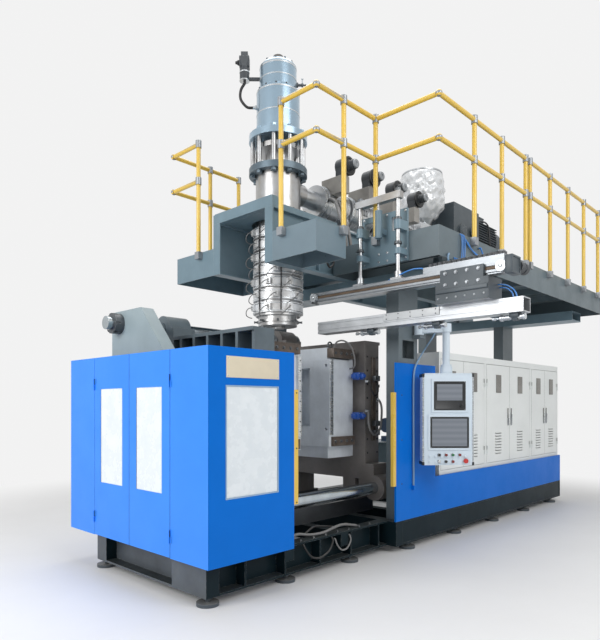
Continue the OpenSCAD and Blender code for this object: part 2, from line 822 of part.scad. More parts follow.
// Diagonal yoke behind the clamp cylinder, as a plate across the tie bars
module yoke() {
  side = lug_r + 10;
  end = lug_r - 10;
  rise = (2 * (bar_dz + end)) - 440;
  color([0.40, 0.44, 0.46]) at_datum() difference() {
    union() {
      translate([yoke_x, 0, 0]) rotate([90, 0, 90]) linear_extrude(height = yoke_t) polygon([
        [low_bar_y - side, low_bar_z - end],
        [low_bar_y - side + yoke_w, low_bar_z - end],
        [high_bar_y + side, low_bar_z - end + rise],
        [high_bar_y + side, high_bar_z + end],
        [high_bar_y + side - yoke_w, high_bar_z + end],
        [low_bar_y - side, high_bar_z + end - rise]]);
      rod_x(yoke_x - 30, yoke_x + yoke_t, centre_y, clamp_z, cyl_r + 60);
    }
    rod_x(yoke_x - 40, yoke_x + yoke_t + edge, centre_y, clamp_z, cyl_r);
    rod_x(yoke_x - edge, yoke_x + yoke_t + edge, low_bar_y, low_bar_z, bar_r);
    rod_x(yoke_x - edge, yoke_x + yoke_t + edge, high_bar_y, high_bar_z, bar_r);
  }
}

bar_end = platen_right_x + platen_t;

module tie_bars() {
  color([0.55, 0.60, 0.62]) at_datum() {
    rod_x(yoke_x - nut_l, bar_end + nut_l, low_bar_y, low_bar_z, bar_r);
    rod_x(yoke_x - nut_l - bar_tail, bar_end + nut_l, high_bar_y, high_bar_z, bar_r);
  }
}

// Round nut with slots for a hook spanner
module bar_nut(x, y, z) {
  difference() {
    rod_x(x, x + nut_l, y, z, bar_r + 32);
    rod_x(x - edge, x + nut_l + edge, y, z, bar_r);
    for (i = [0 : 5]) {
      translate([x - edge, y, z]) rotate([i * 60, 0, 0])
        translate([0, bar_r + 24, -9]) cube([nut_l / 2, 20, 18]);
    }
  }
}

module tie_bar_nuts() {
  color([0.32, 0.34, 0.36]) at_datum() {
    bar_nut(yoke_x - nut_l, low_bar_y, low_bar_z);
    bar_nut(yoke_x - nut_l, high_bar_y, high_bar_z);
    bar_nut(bar_end, low_bar_y, low_bar_z);
    bar_nut(bar_end, high_bar_y, high_bar_z);
  }
}

cyl_x0 = yoke_x - cyl_back;
cyl_x1 = yoke_x + yoke_t + cyl_front;
piston_x = cyl_x0 + 18;

module clamp_cylinder() {
  color([0.28, 0.30, 0.33]) at_datum() difference() {
    union() {
      rod_x(cyl_x0, cyl_x1, centre_y, clamp_z, cyl_r);
      rod_x(yoke_x + yoke_t, yoke_x + yoke_t + 40, centre_y, clamp_z, cyl_r + 45);
    }
    rod_x(cyl_x0 + 14, cyl_x1 - 24, centre_y, clamp_z, cyl_r - 30);
    rod_x(cyl_x1 - 30, cyl_x1 + edge, centre_y, clamp_z, rod_r + 0.1);
  }
}

module clamp_rod() {
  color([0.78, 0.80, 0.82]) at_datum() {
    rod_x(piston_x, piston_x + 24, centre_y, clamp_z, cyl_r - 30.3);
    rod_x(piston_x, platen_left_x, centre_y, clamp_z, rod_r);
  }
}

// Welded platen: face plate, back plate, upright ribs, cross ribs, shoes and tie bar lugs
module platen(x, face_right, hole_r) {
  back = face_right ? x : x + platen_face;
  face = face_right ? x + platen_t - platen_face : x;
  difference() {
    union() {
      block([face, platen_y0, platen_z0], [face + platen_face, platen_y1, platen_top]);
      block([face_right ? x + 20 : x, platen_y0, platen_z0],
        [face_right ? x + platen_t : x + platen_t - 20, platen_y0 + rib_t, platen_top]);
      block([face_right ? x + 20 : x, platen_y1 - rib_t, platen_z0],
        [face_right ? x + platen_t : x + platen_t - 20, platen_y1, platen_top]);
      for (i = [1 : rib_n]) {
        y = platen_y0 + i * platen_w / (rib_n + 1);
        block([back, y - rib_t / 2, platen_z0], [back + platen_t - platen_face, y + rib_t / 2, platen_top]);
      }
      for (z = [platen_z0, platen_z0 + 420, platen_top - 450, platen_top - rib_t]) {
        block([back, platen_y0, z], [back + platen_t - platen_face, platen_y1, z + rib_t]);
      }
      for (side = [-1, 1]) {
        block([x, centre_y + side * rail_dy - rail_w / 2 - 30, rail_top_z + shoe_gap],
          [x + platen_t, centre_y + side * rail_dy + rail_w / 2 + 30, platen_z0 + 30]);
      }
      rod_x(x, x + platen_t, centre_y, clamp_z, 170);
      lug(x, low_bar_y, low_bar_z, platen_z0 + 150);
      lug(x, high_bar_y, high_bar_z, platen_top - 150);
    }
    rod_x(x - edge, x + platen_t + edge, low_bar_y, low_bar_z, hole_r);
    rod_x(x - edge, x + platen_t + edge, high_bar_y, high_bar_z, hole_r);
  }
}

// Lug round a tie bar, with a block that ties it to the platen's corner
module lug(x, y, z, z1) {
  toward = y < centre_y ? 1 : -1;
  inner = y + toward * (lug_r + 60);
  rod_x(x, x + platen_t, y, z, lug_r);
  block([x, min(y, inner), min(z, z1)], [x + platen_t, max(y, inner), max(z, z1)]);
}

module platen_left() {
  color([0.40, 0.45, 0.48]) at_datum() platen(platen_left_x, true, bar_r + bar_fit);
}

module platen_right() {
  color([0.38, 0.34, 0.31]) at_datum() platen(platen_right_x, false, bar_r);
}

// Mould half with its cavity, backing plate and the blocks above and below. The
// parting face is at x = 0 and the half reaches towards +x.
module mould_half() {
  lip = 50;
  cavity_z = mould_z0 + (mould_h - cavity_h) / 2;
  difference() {
    union() {
      block([0, mould_y0, mould_z0], [lip, mould_y0 + mould_w, mould_z0 + mould_h]);
      block([0, mould_y0 + 14, mould_z0], [mould_d, mould_y0 + mould_w - 14, mould_z0 + mould_h]);
      block([20, mould_y0 + 40, mould_z0 - mould_foot_h],
        [mould_d, mould_y0 + mould_w - 40, mould_z0 - mould_foot_h / 2]);
      block([0, mould_y0 + 10, mould_z0 - mould_foot_h / 2],
        [mould_d, mould_y0 + mould_w - 10, mould_z0]);
      block([30, mould_y0 + 60, mould_z0 + mould_h],
        [mould_d, mould_y0 + mould_w - 60, mould_z0 + mould_h + mould_head_h]);
      block([mould_d, mould_y0 + 60, mould_z0 - mould_foot_h],
        [mould_d + riser_t, mould_y0 + mould_w - 60, mould_z0 + mould_h + 40]);
    }
    translate([0, centre_y, cavity_z]) cylinder(r = cavity_r, h = cavity_h, $fn = bore_fn);
    translate([0, centre_y, cavity_z + cavity_h - edge])
      cylinder(r = neck_r, h = mould_h + mould_head_h, $fn = bore_fn);
    // Guide pin bores at the corners of the parting face
    for (y = [mould_y0 + 45, mould_y0 + mould_w - 45]) {
      for (z = [mould_z0 + 60, mould_z0 + mould_h - 60]) {
        rod_x(-edge, 60, y, z, 14);
      }
    }
  }
}

module mould_right() {
  color([0.70, 0.76, 0.79]) at_datum() translate([mould_right_x, 0, 0]) mould_half();
}

module mould_left() {
  color([0.70, 0.76, 0.79]) at_datum() translate([mould_left_x + mould_d, 0, 0]) mirror([1, 0, 0]) mould_half();
}

// I-beam along x
module beam_x(x0, x1, y0) {
  block([x0, y0, beam_z0], [x1, y0 + beam_w, beam_z0 + beam_t]);
  block([x0, y0, beam_top - beam_t], [x1, y0 + beam_w, beam_top]);
  block([x0, y0 + beam_w / 2 - beam_t / 2, beam_z0], [x1, y0 + beam_w / 2 + beam_t / 2, beam_top]);
}

module platform_beams() {
  color([0.55, 0.63, 0.68]) at_datum() {
    for (y = [near_beam_y0, far_beam_y1 - beam_w]) {
      beam_x(walk_x0, machine_l, y);
      block([walk_x0, y, beam_z0], [walk_x0 + beam_t, y + beam_w, beam_top]);
      for (x = [walk_x0 + 600 : 800 : machine_l - 100]) {
        block([x, y, beam_z0], [x + beam_t, y + beam_w, beam_top]);
      }
    }
    // Cross girders over the columns
    for (x = [column_x0, column_x1]) {
      difference() {
        block([x, column_near_y - 400, beam_z0 - girder_h], [x + column_l, cover_w, beam_z0]);
        block([x + 12, column_near_y - 410, beam_z0 - girder_h + 12],
          [x + column_l - 12, cover_w + 10, beam_z0 - 12]);
      }
    }
    // Ties between the main beams
    for (x = [walk_x0 + 1200, column_x1]) {
      block([x, near_beam_y0 + beam_w / 2, beam_z0 + 60], [x + 100, far_beam_y1 - beam_w / 2, beam_z0 + 200]);
    }
  }
}

// Walkway tray, open below, with stiffening ribs under its floor
module tray(x0, x1, y0, y1) {
  difference() {
    block([x0, y0, beam_z0], [x1, y1, floor_z]);
    block([x0 + tray_t, y0 + tray_t, beam_z0 - edge], [x1 - tray_t, y1 - tray_t, floor_z - tray_t]);
  }
  rib_count = ceil((x1 - x0) / 700);
  for (i = [1 : rib_count - 1]) {
    x = x0 + i * (x1 - x0) / rib_count;
    block([x - 4, y0, floor_z - 90], [x + 4, y1, floor_z - tray_t]);
  }
}

module walkway_near() {
  color([0.62, 0.70, 0.75]) at_datum()
    tray(walk_x0, walk_x0 + near_walk_l, near_walk_y0, near_beam_y0);
}

module walkway_far() {
  color([0.62, 0.70, 0.75]) at_datum() tray(walk_x0, walk_x0 + far_walk_l, far_beam_y1, far_walk_y1);
}

module gallery() {
  color([0.50, 0.58, 0.63]) at_datum() {
    tray(gallery_x0, machine_l, gallery_y0, near_beam_y0);
    // Junction box of the cable and glands of the air hose
    block(cable_route[0] - [34, 30, -seat_gap], [cable_route[0][0] + 34, cable_route[0][1] + 30, floor_z - tray_t / 2]);
    for (end = [hose_route[0], hose_end]) {
      rod_y(end[0], gallery_y0 - gland_t + seat_gap, gallery_y0, end[2], hose_r + 4);
    }
  }
}

post_off = 26;

// Railing post in a foot block on the outer face of a tray. The turn is the
// direction from the tray to the post.
module rail_post(x, y, turn) {
  rod_z(x, y, floor_z - post_drop, floor_z + rail_top, rail_tube_r);
  translate([x, y, floor_z - post_drop]) rotate([0, 0, turn])
    translate([-30, -post_off, 0]) cube([60, post_off + rail_tube_r + 4, post_drop]);
  for (z = [rail_mid, rail_top]) {
    rod_z(x, y, floor_z + z - rail_joint_l / 2, floor_z + z + rail_joint_l / 2, rail_joint_r);
  }
}

module rails_x(x0, x1, y) {
  for (z = [rail_mid, rail_top]) rod_x(x0, x1, y, floor_z + z, rail_tube_r);
}

module rails_y(x, y0, y1) {
  for (z = [rail_mid, rail_top]) rod_y(x, y0, y1, floor_z + z, rail_tube_r);
}

// Elbow joints where the rails turn a corner without a post
module rail_corner(x, y) {
  for (z = [rail_mid, rail_top]) {
    translate([x, y, floor_z + z]) sphere(r = rail_joint_r, $fn = bore_fn);
  }
}

end_x = walk_x0 - post_off;
near_rail_y = near_walk_y0 - post_off;
far_rail_y = far_walk_y1 + post_off;
gallery_rail_y = gallery_y0 - post_off;
gallery_post_x = plate_x - post_off;

module railing_near() {
  color([0.93, 0.78, 0.28]) at_datum() {
    rail_post(end_x, near_beam_y0 - 130, 90);
    rails_y(end_x, near_rail_y, near_beam_y0 - 130);
    rail_corner(end_x, near_rail_y);
    rail_post(walk_x0 + near_walk_l - 60, near_rail_y, 180);
    rails_x(end_x, gallery_post_x - rail_joint_r - 0.5, near_rail_y);
  }
}

module railing_far() {
  color([0.93, 0.78, 0.28]) at_datum() {
    rail_post(end_x, far_beam_y1 + 200, 90);
    rails_y(end_x, far_beam_y1 + 200, far_rail_y);
    rail_corner(end_x, far_rail_y);
    rails_x(end_x, walk_x0 + far_walk_l - 40, far_rail_y);
    rail_post(walk_x0 + far_walk_l / 2, far_rail_y, 0);
    rail_post(walk_x0 + far_walk_l - 40, far_rail_y, 0);
  }
}

gallery_break = 3620;
gallery_bay = 560;

module railing_gallery() {
  color([0.93, 0.78, 0.28]) at_datum() {
    rail_post(gallery_post_x, near_rail_y, 90);
    rails_y(gallery_post_x, gallery_rail_y, near_rail_y);
    rail_corner(gallery_post_x, gallery_rail_y);
    rails_x(gallery_post_x, gallery_break, gallery_rail_y);
    for (x = [gallery_break : -gallery_bay : gallery_x0 + 300]) rail_post(x, gallery_rail_y, 180);
    rails_x(gallery_break + 110, machine_l - 40, gallery_rail_y);
    for (x = [gallery_break + 110 : gallery_bay : machine_l - 200]) rail_post(x, gallery_rail_y, 180);
    rail_post(machine_l - 40, gallery_rail_y, 180);
  }
}

// Plates and cross beam that carry the head on the main beams
module head_carrier() {
  color([0.58, 0.66, 0.71]) at_datum() {
    difference() {
      block([clamp_x - carrier_half, near_beam_y0, beam_top], [clamp_x + carrier_half, far_beam_y1, carrier_top]);
      rod_z(clamp_x, centre_y, beam_top - edge, carrier_top + edge, band_r + 12);
    }
    block([walk_x0, near_beam_y0, beam_top], [walk_x0 + 60, far_beam_y1, beam_top + 90]);
    block([walk_x0, near_beam_y0 + 20, beam_top + 90], [walk_x0 + 60, far_beam_y1 - 20, beam_top + 96]);
    for (y = [near_beam_y0, far_beam_y1 - 14]) {
      translate([walk_x0 + 60, y, beam_top]) rotate([90, 0, 0]) translate([0, 0, -14])
        linear_extrude(height = 14) polygon([[0, 0], [90, 0], [0, 90]]);
    }
  }
}

pin_rod_r = die_pin_r - 15;
pin_rod_l = 1060;
sleeve_r = 110;
plunger_rod_r = 60;
ring_z = upper_flange_z - 90;
sleeve_bottom = ring_z - 340;
piston_z = ring_z + 2.5 * plunger_travel;

// Nuts of the head columns, in a circle on a face
module column_nuts(z) {
  for (i = [0 : head_column_n - 1]) {
    rotate([0, 0, i * 360 / head_column_n]) translate([head_column_pitch, 0, z])
      cylinder(r = head_column_r + 8, h = 26, $fn = 6);
  }
}

// Accumulator barrel with its support ring, inlet boss, top flange and die ring
module head_barrel() {
  color([0.80, 0.82, 0.83]) at_datum() translate([clamp_x, centre_y, 0]) difference() {
    union() {
      translate([0, 0, die_z]) cylinder(r = die_r, h = die_h, $fn = bore_fn);
      translate([0, 0, die_z + 30]) cylinder(r = die_r + 14, h = 24, $fn = bore_fn);
      translate([0, 0, die_z + die_h]) cylinder(r = head_r, h = barrel_top - die_z - die_h, $fn = bore_fn);
      translate([0, 0, carrier_top]) cylinder(r = band_r + 70, h = 50, $fn = bore_fn);
      translate([0, 0, lower_flange_z]) cylinder(r = head_flange_r, h = head_flange_t, $fn = bore_fn);
      translate([0, 0, screw_z]) rotate([0, 90, 0]) cylinder(r = barrel_r + 15, h = 300, $fn = bore_fn);
      column_nuts(lower_flange_z - 25);
    }
    translate([0, 0, die_z - edge]) cylinder(r = die_bore_r, h = pin_rod_l - 79, $fn = bore_fn);
    translate([0, 0, die_z + pin_rod_l - 100]) cylinder(r = pin_rod_r + 0.1, h = 130, $fn = bore_fn);
    translate([0, 0, sleeve_bottom - plunger_travel - 10])
      cylinder(r = sleeve_r + 0.1, h = 700, $fn = bore_fn);
  }
}

// Heater bands with clamping ears and terminal boxes
module heater_bands() {
  color([0.72, 0.73, 0.74]) at_datum() translate([clamp_x, centre_y, die_z + die_h + band_gap]) {
    for (i = [0 : band_n - 1]) {
      translate([0, 0, i * (band_h + band_gap)]) {
        difference() {
          cylinder(r = band_r, h = band_h, $fn = bore_fn);
          translate([0, 0, -edge]) cylinder(r = head_r + 0.2, h = band_h + 2 * edge, $fn = bore_fn);
          rotate([0, 0, 40]) translate([head_r - 10, -5, -edge]) cube([60, 10, band_h + 2 * edge]);
        }
        for (turn = [160, 205, 250]) {
          rotate([0, 0, turn + (i % 2) * 16]) translate([band_r - 6, -24, 20]) cube([34, 48, 56]);
        }
      }
    }
  }
}

module head_columns() {
  color([0.75, 0.78, 0.80]) at_datum() translate([clamp_x, centre_y, 0])
    for (i = [0 : head_column_n - 1]) {
      rotate([0, 0, i * 360 / head_column_n]) translate([head_column_pitch, 0, lower_flange_z + head_flange_t])
        cylinder(r = head_column_r, h = head_window_h, $fn = bore_fn);
    }
}

// Push cylinder above the head, with its domed end, cap and servo valve
module push_cylinder() {
  top_z = push_z + push_h;
  dome_z = top_z + push_top_h;
  color([0.62, 0.74, 0.84]) at_datum() translate([clamp_x, centre_y, 0]) {
    difference() {
      union() {
        column_nuts(push_z - edge);
        rotate_extrude($fn = bore_fn) polygon([
          [0, upper_flange_z], [head_flange_r, upper_flange_z], [head_flange_r, push_z],
          [push_r + 16, push_z], [push_r + 16, push_z + 40], [push_r, push_z + 48],
          [push_r, top_z], [push_top_r, top_z + 30], [push_top_r, dome_z],
          [push_top_r - 24, dome_z + 30], [push_top_r - 90, dome_z + 64],
          [48, dome_z + 66], [48, dome_z + 119], [34, dome_z + 129], [0, dome_z + 129]]);
      }
      translate([0, 0, upper_flange_z - edge]) cylinder(r = plunger_rod_r + 0.1, h = 90, $fn = bore_fn);
      translate([0, 0, upper_flange_z + 80]) cylinder(r = sleeve_r, h = 360, $fn = bore_fn);
    }
    // Servo valve on its bracket
    rotate([0, 0, 134]) {
      translate([push_top_r - 8, -16, dome_z - 110]) cube([150, 32, 22]);
      translate([push_top_r + 146, 0, dome_z - 118]) cylinder(r = 46, h = 130, $fn = bore_fn);
      translate([push_top_r + 98, -42, dome_z + 10]) cube([96, 84, 96]);
      translate([push_top_r + 112, -34, dome_z + 104]) cube([66, 68, 46]);
    }
  }
}

module die_pin() {
  color([0.82, 0.84, 0.85]) at_datum() translate([clamp_x, centre_y, 0]) {
    translate([0, 0, die_z - 22]) cylinder(r = die_pin_r, h = 160, $fn = bore_fn);
    translate([0, 0, die_z]) cylinder(r = pin_rod_r, h = pin_rod_l, $fn = bore_fn);
  }
}

// Ring plunger that pushes the melt down, with its rod, piston and sleeve
module plunger_ring() {
  color([0.70, 0.72, 0.74]) at_datum() translate([clamp_x, centre_y, 0]) {
    translate([0, 0, ring_z]) cylinder(r = head_column_pitch - head_column_r - 14, h = 46, $fn = bore_fn);
    translate([0, 0, ring_z]) cylinder(r = plunger_rod_r, h = 2.75 * plunger_travel, $fn = bore_fn);
    translate([0, 0, piston_z]) cylinder(r = sleeve_r - 0.3, h = 40, $fn = bore_fn);
    difference() {
      translate([0, 0, sleeve_bottom]) cylinder(r = sleeve_r, h = ring_z - sleeve_bottom + edge, $fn = bore_fn);
      translate([0, 0, sleeve_bottom - edge])
        cylinder(r = die_pin_r, h = ring_z - sleeve_bottom - 40, $fn = bore_fn);
    }
  }
}

saddle_x = zone_x0 + zone_pitch - 30;
feed_x0 = hopper_x - 270;
plate_z = beam_top + 30;

// Extruder barrel with its zone shrouds, saddles and feed block
module extruder_barrel() {
  color([0.76, 0.78, 0.80]) at_datum() {
    rod_x(clamp_x + 300, gear_x0, centre_y, screw_z, barrel_r);
    for (i = [0 : zone_n - 1]) {
      x = zone_x0 + i * zone_pitch;
      rod_x(x, x + shroud_l, centre_y, screw_z, shroud_r);
      rod_x(x + 60, x + 90, centre_y, screw_z, shroud_r + 6);
      rod_x(x + shroud_l - 90, x + shroud_l - 60, centre_y, screw_z, shroud_r + 6);
      // Exhaust box on the far side
      block([x + 120, centre_y + 60, screw_z + 60], [x + shroud_l - 120, centre_y + 220, screw_z + 200]);
    }
    for (x = [saddle_x, saddle_x + 2 * zone_pitch]) {
      block([x - 100, near_beam_y0, beam_top], [x + 120, far_beam_y1, beam_top + 30]);
      block([x, centre_y - 110, beam_top + 30], [x + 20, centre_y + 110, screw_z]);
      block([x - 60, centre_y - 10, beam_top + 30], [x + 80, centre_y + 10, screw_z - shroud_r - 20]);
    }
    // Feed block under the hopper
    block([feed_x0, centre_y - 150, screw_z - 170], [hopper_x + 270, centre_y + 150, hopper_z]);
    block([feed_x0 + 60, near_beam_y0, beam_top], [hopper_x + 210, far_beam_y1, beam_top + 30]);
    block([feed_x0 + 100, centre_y - 120, beam_top + 30], [feed_x0 + 130, centre_y + 120, screw_z - 169]);
    block([hopper_x + 140, centre_y - 120, beam_top + 30], [hopper_x + 170, centre_y + 120, screw_z - 169]);
  }
}

// Cooling blowers, each with its motor and a duct to the shroud
module barrel_blowers() {
  color([0.32, 0.35, 0.37]) at_datum() for (i = [0 : zone_n - 1]) {
    x = zone_x0 + shroud_l / 2 + i * zone_pitch;
    y = centre_y - blower_dy;
    rod_y(x, y, y + blower_w, blower_z, blower_r);
    rod_y(x, y - 14, y, blower_z, blower_r - 30);
    rod_y(x, y - 90, y - 14, blower_z, 48);
    block([x - blower_r + 4, y + 8, blower_z - 200], [x - 6, y + blower_w - 8, blower_z]);
    difference() {
      block([x - blower_r - 8, y, screw_z + 60], [x + 8, centre_y - 20, blower_z - 110]);
      rod_x(x - 2 * blower_r, x + 20, centre_y, screw_z, shroud_r + 0.3);
    }
  }
}

module hopper() {
  base_r = barrel_r;
  color([0.80, 0.82, 0.84]) at_datum() translate([hopper_x, centre_y, hopper_z]) {
    rotate_extrude($fn = bore_fn) polygon([
      [base_r - hopper_t, 0], [base_r + 30, 0], [base_r + 30, 16], [base_r, 16],
      [hopper_r, hopper_cone_h], [hopper_r, hopper_cone_h + hopper_h],
      [hopper_r + 8, hopper_cone_h + hopper_h], [hopper_r + 8, hopper_cone_h + hopper_h + 18],
      [60, hopper_cone_h + hopper_h + 46], [0, hopper_cone_h + hopper_h + 46],
      [0, hopper_cone_h + hopper_h + 42], [hopper_r - hopper_t, hopper_cone_h + hopper_h],
      [hopper_r - hopper_t, hopper_cone_h], [base_r - hopper_t, 16]]);
  }
}

// Protective film wrapped round the hopper
module hopper_wrap() {
  z0 = hopper_z + hopper_cone_h + 6;
  z1 = hopper_z + hopper_cone_h + hopper_h - 4;
  mid = (z0 + z1) / 2;
  color([0.93, 0.94, 0.95]) at_datum() translate([hopper_x, centre_y, 0]) rotate_extrude($fn = bore_fn)
    polygon([[hopper_r, z0], [hopper_r + 16, z0], [hopper_r + 30, z0 + 60], [hopper_r + 22, mid - 40],
      [hopper_r + 34, mid + 60], [hopper_r + 26, z1 - 50], [hopper_r + 14, z1], [hopper_r, z1]]);
}

module gearbox() {
  color([0.30, 0.36, 0.40]) at_datum() {
    y0 = centre_y - gear_w / 2;
    y1 = centre_y + gear_w / 2;
    x1 = gear_x0 + gear_l;
    block([gear_x0, near_beam_y0, beam_top], [x1, far_beam_y1, plate_z]);
    block([gear_x0 + 10, y0, plate_z], [x1, y1, beam_top + gear_h]);
    block([gear_x0 + 10, y0 - 30, screw_z - 20], [x1, y1 + 30, screw_z + 20]);
    block([gear_x0 + 10, y0 - 30, plate_z], [x1, y1 + 30, plate_z + 40]);
    rod_x(gear_x0, gear_x0 + 10, centre_y, screw_z, barrel_r + 40);
    for (x = [gear_x0 + 60 : 190 : x1 - 60]) {
      block([x, y0 - 30, plate_z + 40], [x + 20, y0, screw_z - 20]);
    }
    rod_x(x1, x1 + 70, centre_y, motor_z, 90);
    rod_y(gear_x0 + 220, y0 - 16, y0, screw_z + 200, 90);
    rod_y(gear_x0 + 500, y0 - 16, y0, screw_z + 240, 70);
    block([gear_x0 + 260, y0 + 120, beam_top + gear_h], [gear_x0 + 440, y1 - 120, beam_top + gear_h + 24]);
  }
}

motor_z = screw_z + 310;
motor_x0 = gear_x0 + gear_l + 70;

// Extruder motor with cooling fins, terminal box, fan cowl and pedestal
module extruder_motor() {
  half = motor_w / 2;
  color([0.24, 0.30, 0.34]) at_datum() {
    x1 = motor_x0 + motor_l;
    rod_x(motor_x0, motor_x0 + 30, centre_y, motor_z, half + 10);
    rod_x(motor_x0 + 30, x1 - 160, centre_y, motor_z, half - 34);
    for (i = [-5 : 5]) {
      block([motor_x0 + 30, centre_y - half, motor_z + i * 34 - 4],
        [x1 - 160, centre_y + half, motor_z + i * 34 + 4]);
    }
    rod_x(x1 - 160, x1, centre_y, motor_z, half - 4);
    block([motor_x0 + 180, centre_y - 110, motor_z + half - 50],
      [motor_x0 + 420, centre_y + 110, motor_z + half + 90]);
    block([motor_x0 + 40, near_beam_y0, beam_top], [x1 - 140, far_beam_y1, plate_z]);
    for (x = [motor_x0 + 80, x1 - 240]) {
      block([x, centre_y - half + 20, plate_z], [x + 24, centre_y + half - 20, motor_z]);
    }
    block([motor_x0 + 60, centre_y - 12, plate_z], [x1 - 200, centre_y + 12, motor_z - 100]);
  }
}

lift_rod_y = [lift_y - lift_pitch / 2, lift_y + lift_pitch / 2];
guide_z = [beam_z0 + 45, floor_z];
guide_h = [50, 80];

// Windowed plate on the gallery's end with the guides of the lift rods
module lift_guides() {
  color([0.40, 0.47, 0.51]) at_datum() {
    difference() {
      block([plate_x, lift_rod_y[0] - 35, beam_z0 + 5], [gallery_x0, lift_rod_y[1] + 50, floor_z + 200]);
      for (y = [lift_rod_y[0] + 40, lift_y + 130]) {
        block([plate_x - edge, y, floor_z + 30], [gallery_x0 + edge, y + 90, floor_z + 150]);
      }
    }
    for (y = lift_rod_y) for (i = [0, 1]) difference() {
      union() {
        block([lift_x, y - 34, guide_z[i]], [plate_x, y + 34, guide_z[i] + guide_h[i]]);
        rod_z(lift_x, y, guide_z[i], guide_z[i] + guide_h[i], 34);
      }
      rod_z(lift_x, y, guide_z[i] - edge, guide_z[i] + guide_h[i] + edge, lift_rod_r + lift_fit);
    }
    // Lift actuator's body
    difference() {
      union() {
        rod_z(lift_x, lift_y, floor_z - 40, floor_z + 200, 32);
        block([lift_x, lift_y - 24, floor_z], [plate_x, lift_y + 24, floor_z + 50]);
      }
      rod_z(lift_x, lift_y, floor_z - 20, floor_z + 210, 12.4);
    }
  }
}

module lift_frame() {
  color([0.60, 0.64, 0.66]) at_datum() {
    for (y = lift_rod_y) {
      rod_z(lift_x, y, take_z, lift_top - 60, lift_rod_r);
      block([take_x, y - 55, take_z], [take_x + take_w, y + 55, take_z + 18]);
      rod_z(lift_x, y, take_z + 18, take_z + 70, 33);
    }
    block([lift_x - 30, lift_rod_y[0] - 35, lift_top - 60], [lift_x + 30, lift_rod_y[1] + 35, lift_top]);
    rod_z(lift_x, lift_y, floor_z, lift_top - 60, 12);
  }
}

rail_t = 12.7;

// Upper take-out beam with its slots and guide rails
module take_out_beam() {
  color([0.72, 0.75, 0.77]) at_datum() {
    difference() {
      block([take_x, take_y0, take_bottom], [take_x + take_w, take_y1, take_z]);
      for (z = [take_bottom + 20, take_bottom + 55]) {
        block([take_x + take_w - 12, take_y0 - edge, z], [take_x + take_w + edge, take_y1 + edge, z + 10]);
      }
    }
    for (z = [take_bottom + 12, take_z - 30]) {
      block([take_x - rail_t, take_y0 + 30, z], [take_x, take_y1 - 30, z + 18]);
    }
    block([take_x + 5, take_y0 + 20, take_z], [take_x + take_w - 5, take_y0 + 700, take_z + 50]);
    block([take_x - 20, take_y0 - 12, take_bottom - 8], [take_x + take_w, take_y0, take_z + 6]);
    block([take_x - 20, take_y1, take_bottom - 8], [take_x + take_w, take_y1 + 12, take_z + 6]);
  }
}

// Carriage on the upper beam, with the lower beam that carries the grippers
module take_out_carriage() {
  rail_x = take_x - rail_t;
  color([0.66, 0.69, 0.71]) at_datum() {
    block([rail_x - 27, carriage_y0, arm_z], [rail_x - 0.3, carriage_y0 + carriage_l, take_z - 10]);
    difference() {
      block([rail_x - 27, carriage_y0 - 40, arm_z], [arm_x + arm_w, carriage_y0 + carriage_l + 40, take_bottom - 12]);
      block([rail_x, carriage_y0 - 20, arm_z + 20],
        [arm_x + arm_w - 10, carriage_y0 + carriage_l + 20, take_bottom - 32]);
      for (i = [0 : 5]) {
        rod_x(arm_x + arm_w - 20, arm_x + arm_w + edge, carriage_y0 + 30 + i * 60, arm_z + 90, 20);
        rod_x(rail_x - 30, rail_x + edge, carriage_y0 + 30 + i * 60, arm_z + 60, 16);
      }
    }
    difference() {
      block([arm_x, take_y0 - 100, arm_z - arm_h], [arm_x + arm_w, take_y0 - 100 + arm_l, arm_z]);
      block([arm_x + 8, take_y0 - 110, arm_z - arm_h + 8],
        [arm_x + arm_w - 8, take_y0 - 90 + arm_l, arm_z - 8]);
      for (z = [arm_z - arm_h + 22, arm_z - 34]) {
        block([arm_x - edge, take_y0 - 101, z], [arm_x + 5, take_y0 - 99 + arm_l, z + 12]);
      }
    }
  }
}

boom_dx = panel_x - boom_pivot_x;
boom_dy = panel_y - boom_pivot_y;
boom_l = norm([boom_dx, boom_dy]);
boom_turn = atan2(boom_dy, boom_dx);
post_top = boom_z + 40;
panel_top = panel_z0 + panel_h;
neck_h = 70;

// Swinging boom with the panel's hanging post
module panel_arm() {
  color([0.70, 0.72, 0.74]) at_datum() {
    difference() {
      union() {
        rod_z(boom_pivot_x, boom_pivot_y, boom_z - 59.5, boom_z + 50, 45);
        translate([boom_pivot_x, boom_pivot_y, boom_z - 40]) rotate([0, 0, boom_turn])
          translate([30, -35, 0]) cube([boom_l - 30, 70, 80]);
      }
      rod_z(boom_pivot_x, boom_pivot_y, boom_z - 60, boom_z + 51, 20.1);
    }
    rod_z(panel_x, panel_y, boom_z - 40, post_top, 48);
    rod_z(panel_x, panel_y, panel_top + 4, boom_z - 40, panel_post_r);
    rod_z(panel_x, panel_y, panel_top + neck_h + 0.5, panel_top + neck_h + 20, panel_post_r + 16);
  }
}

bezel = 5;

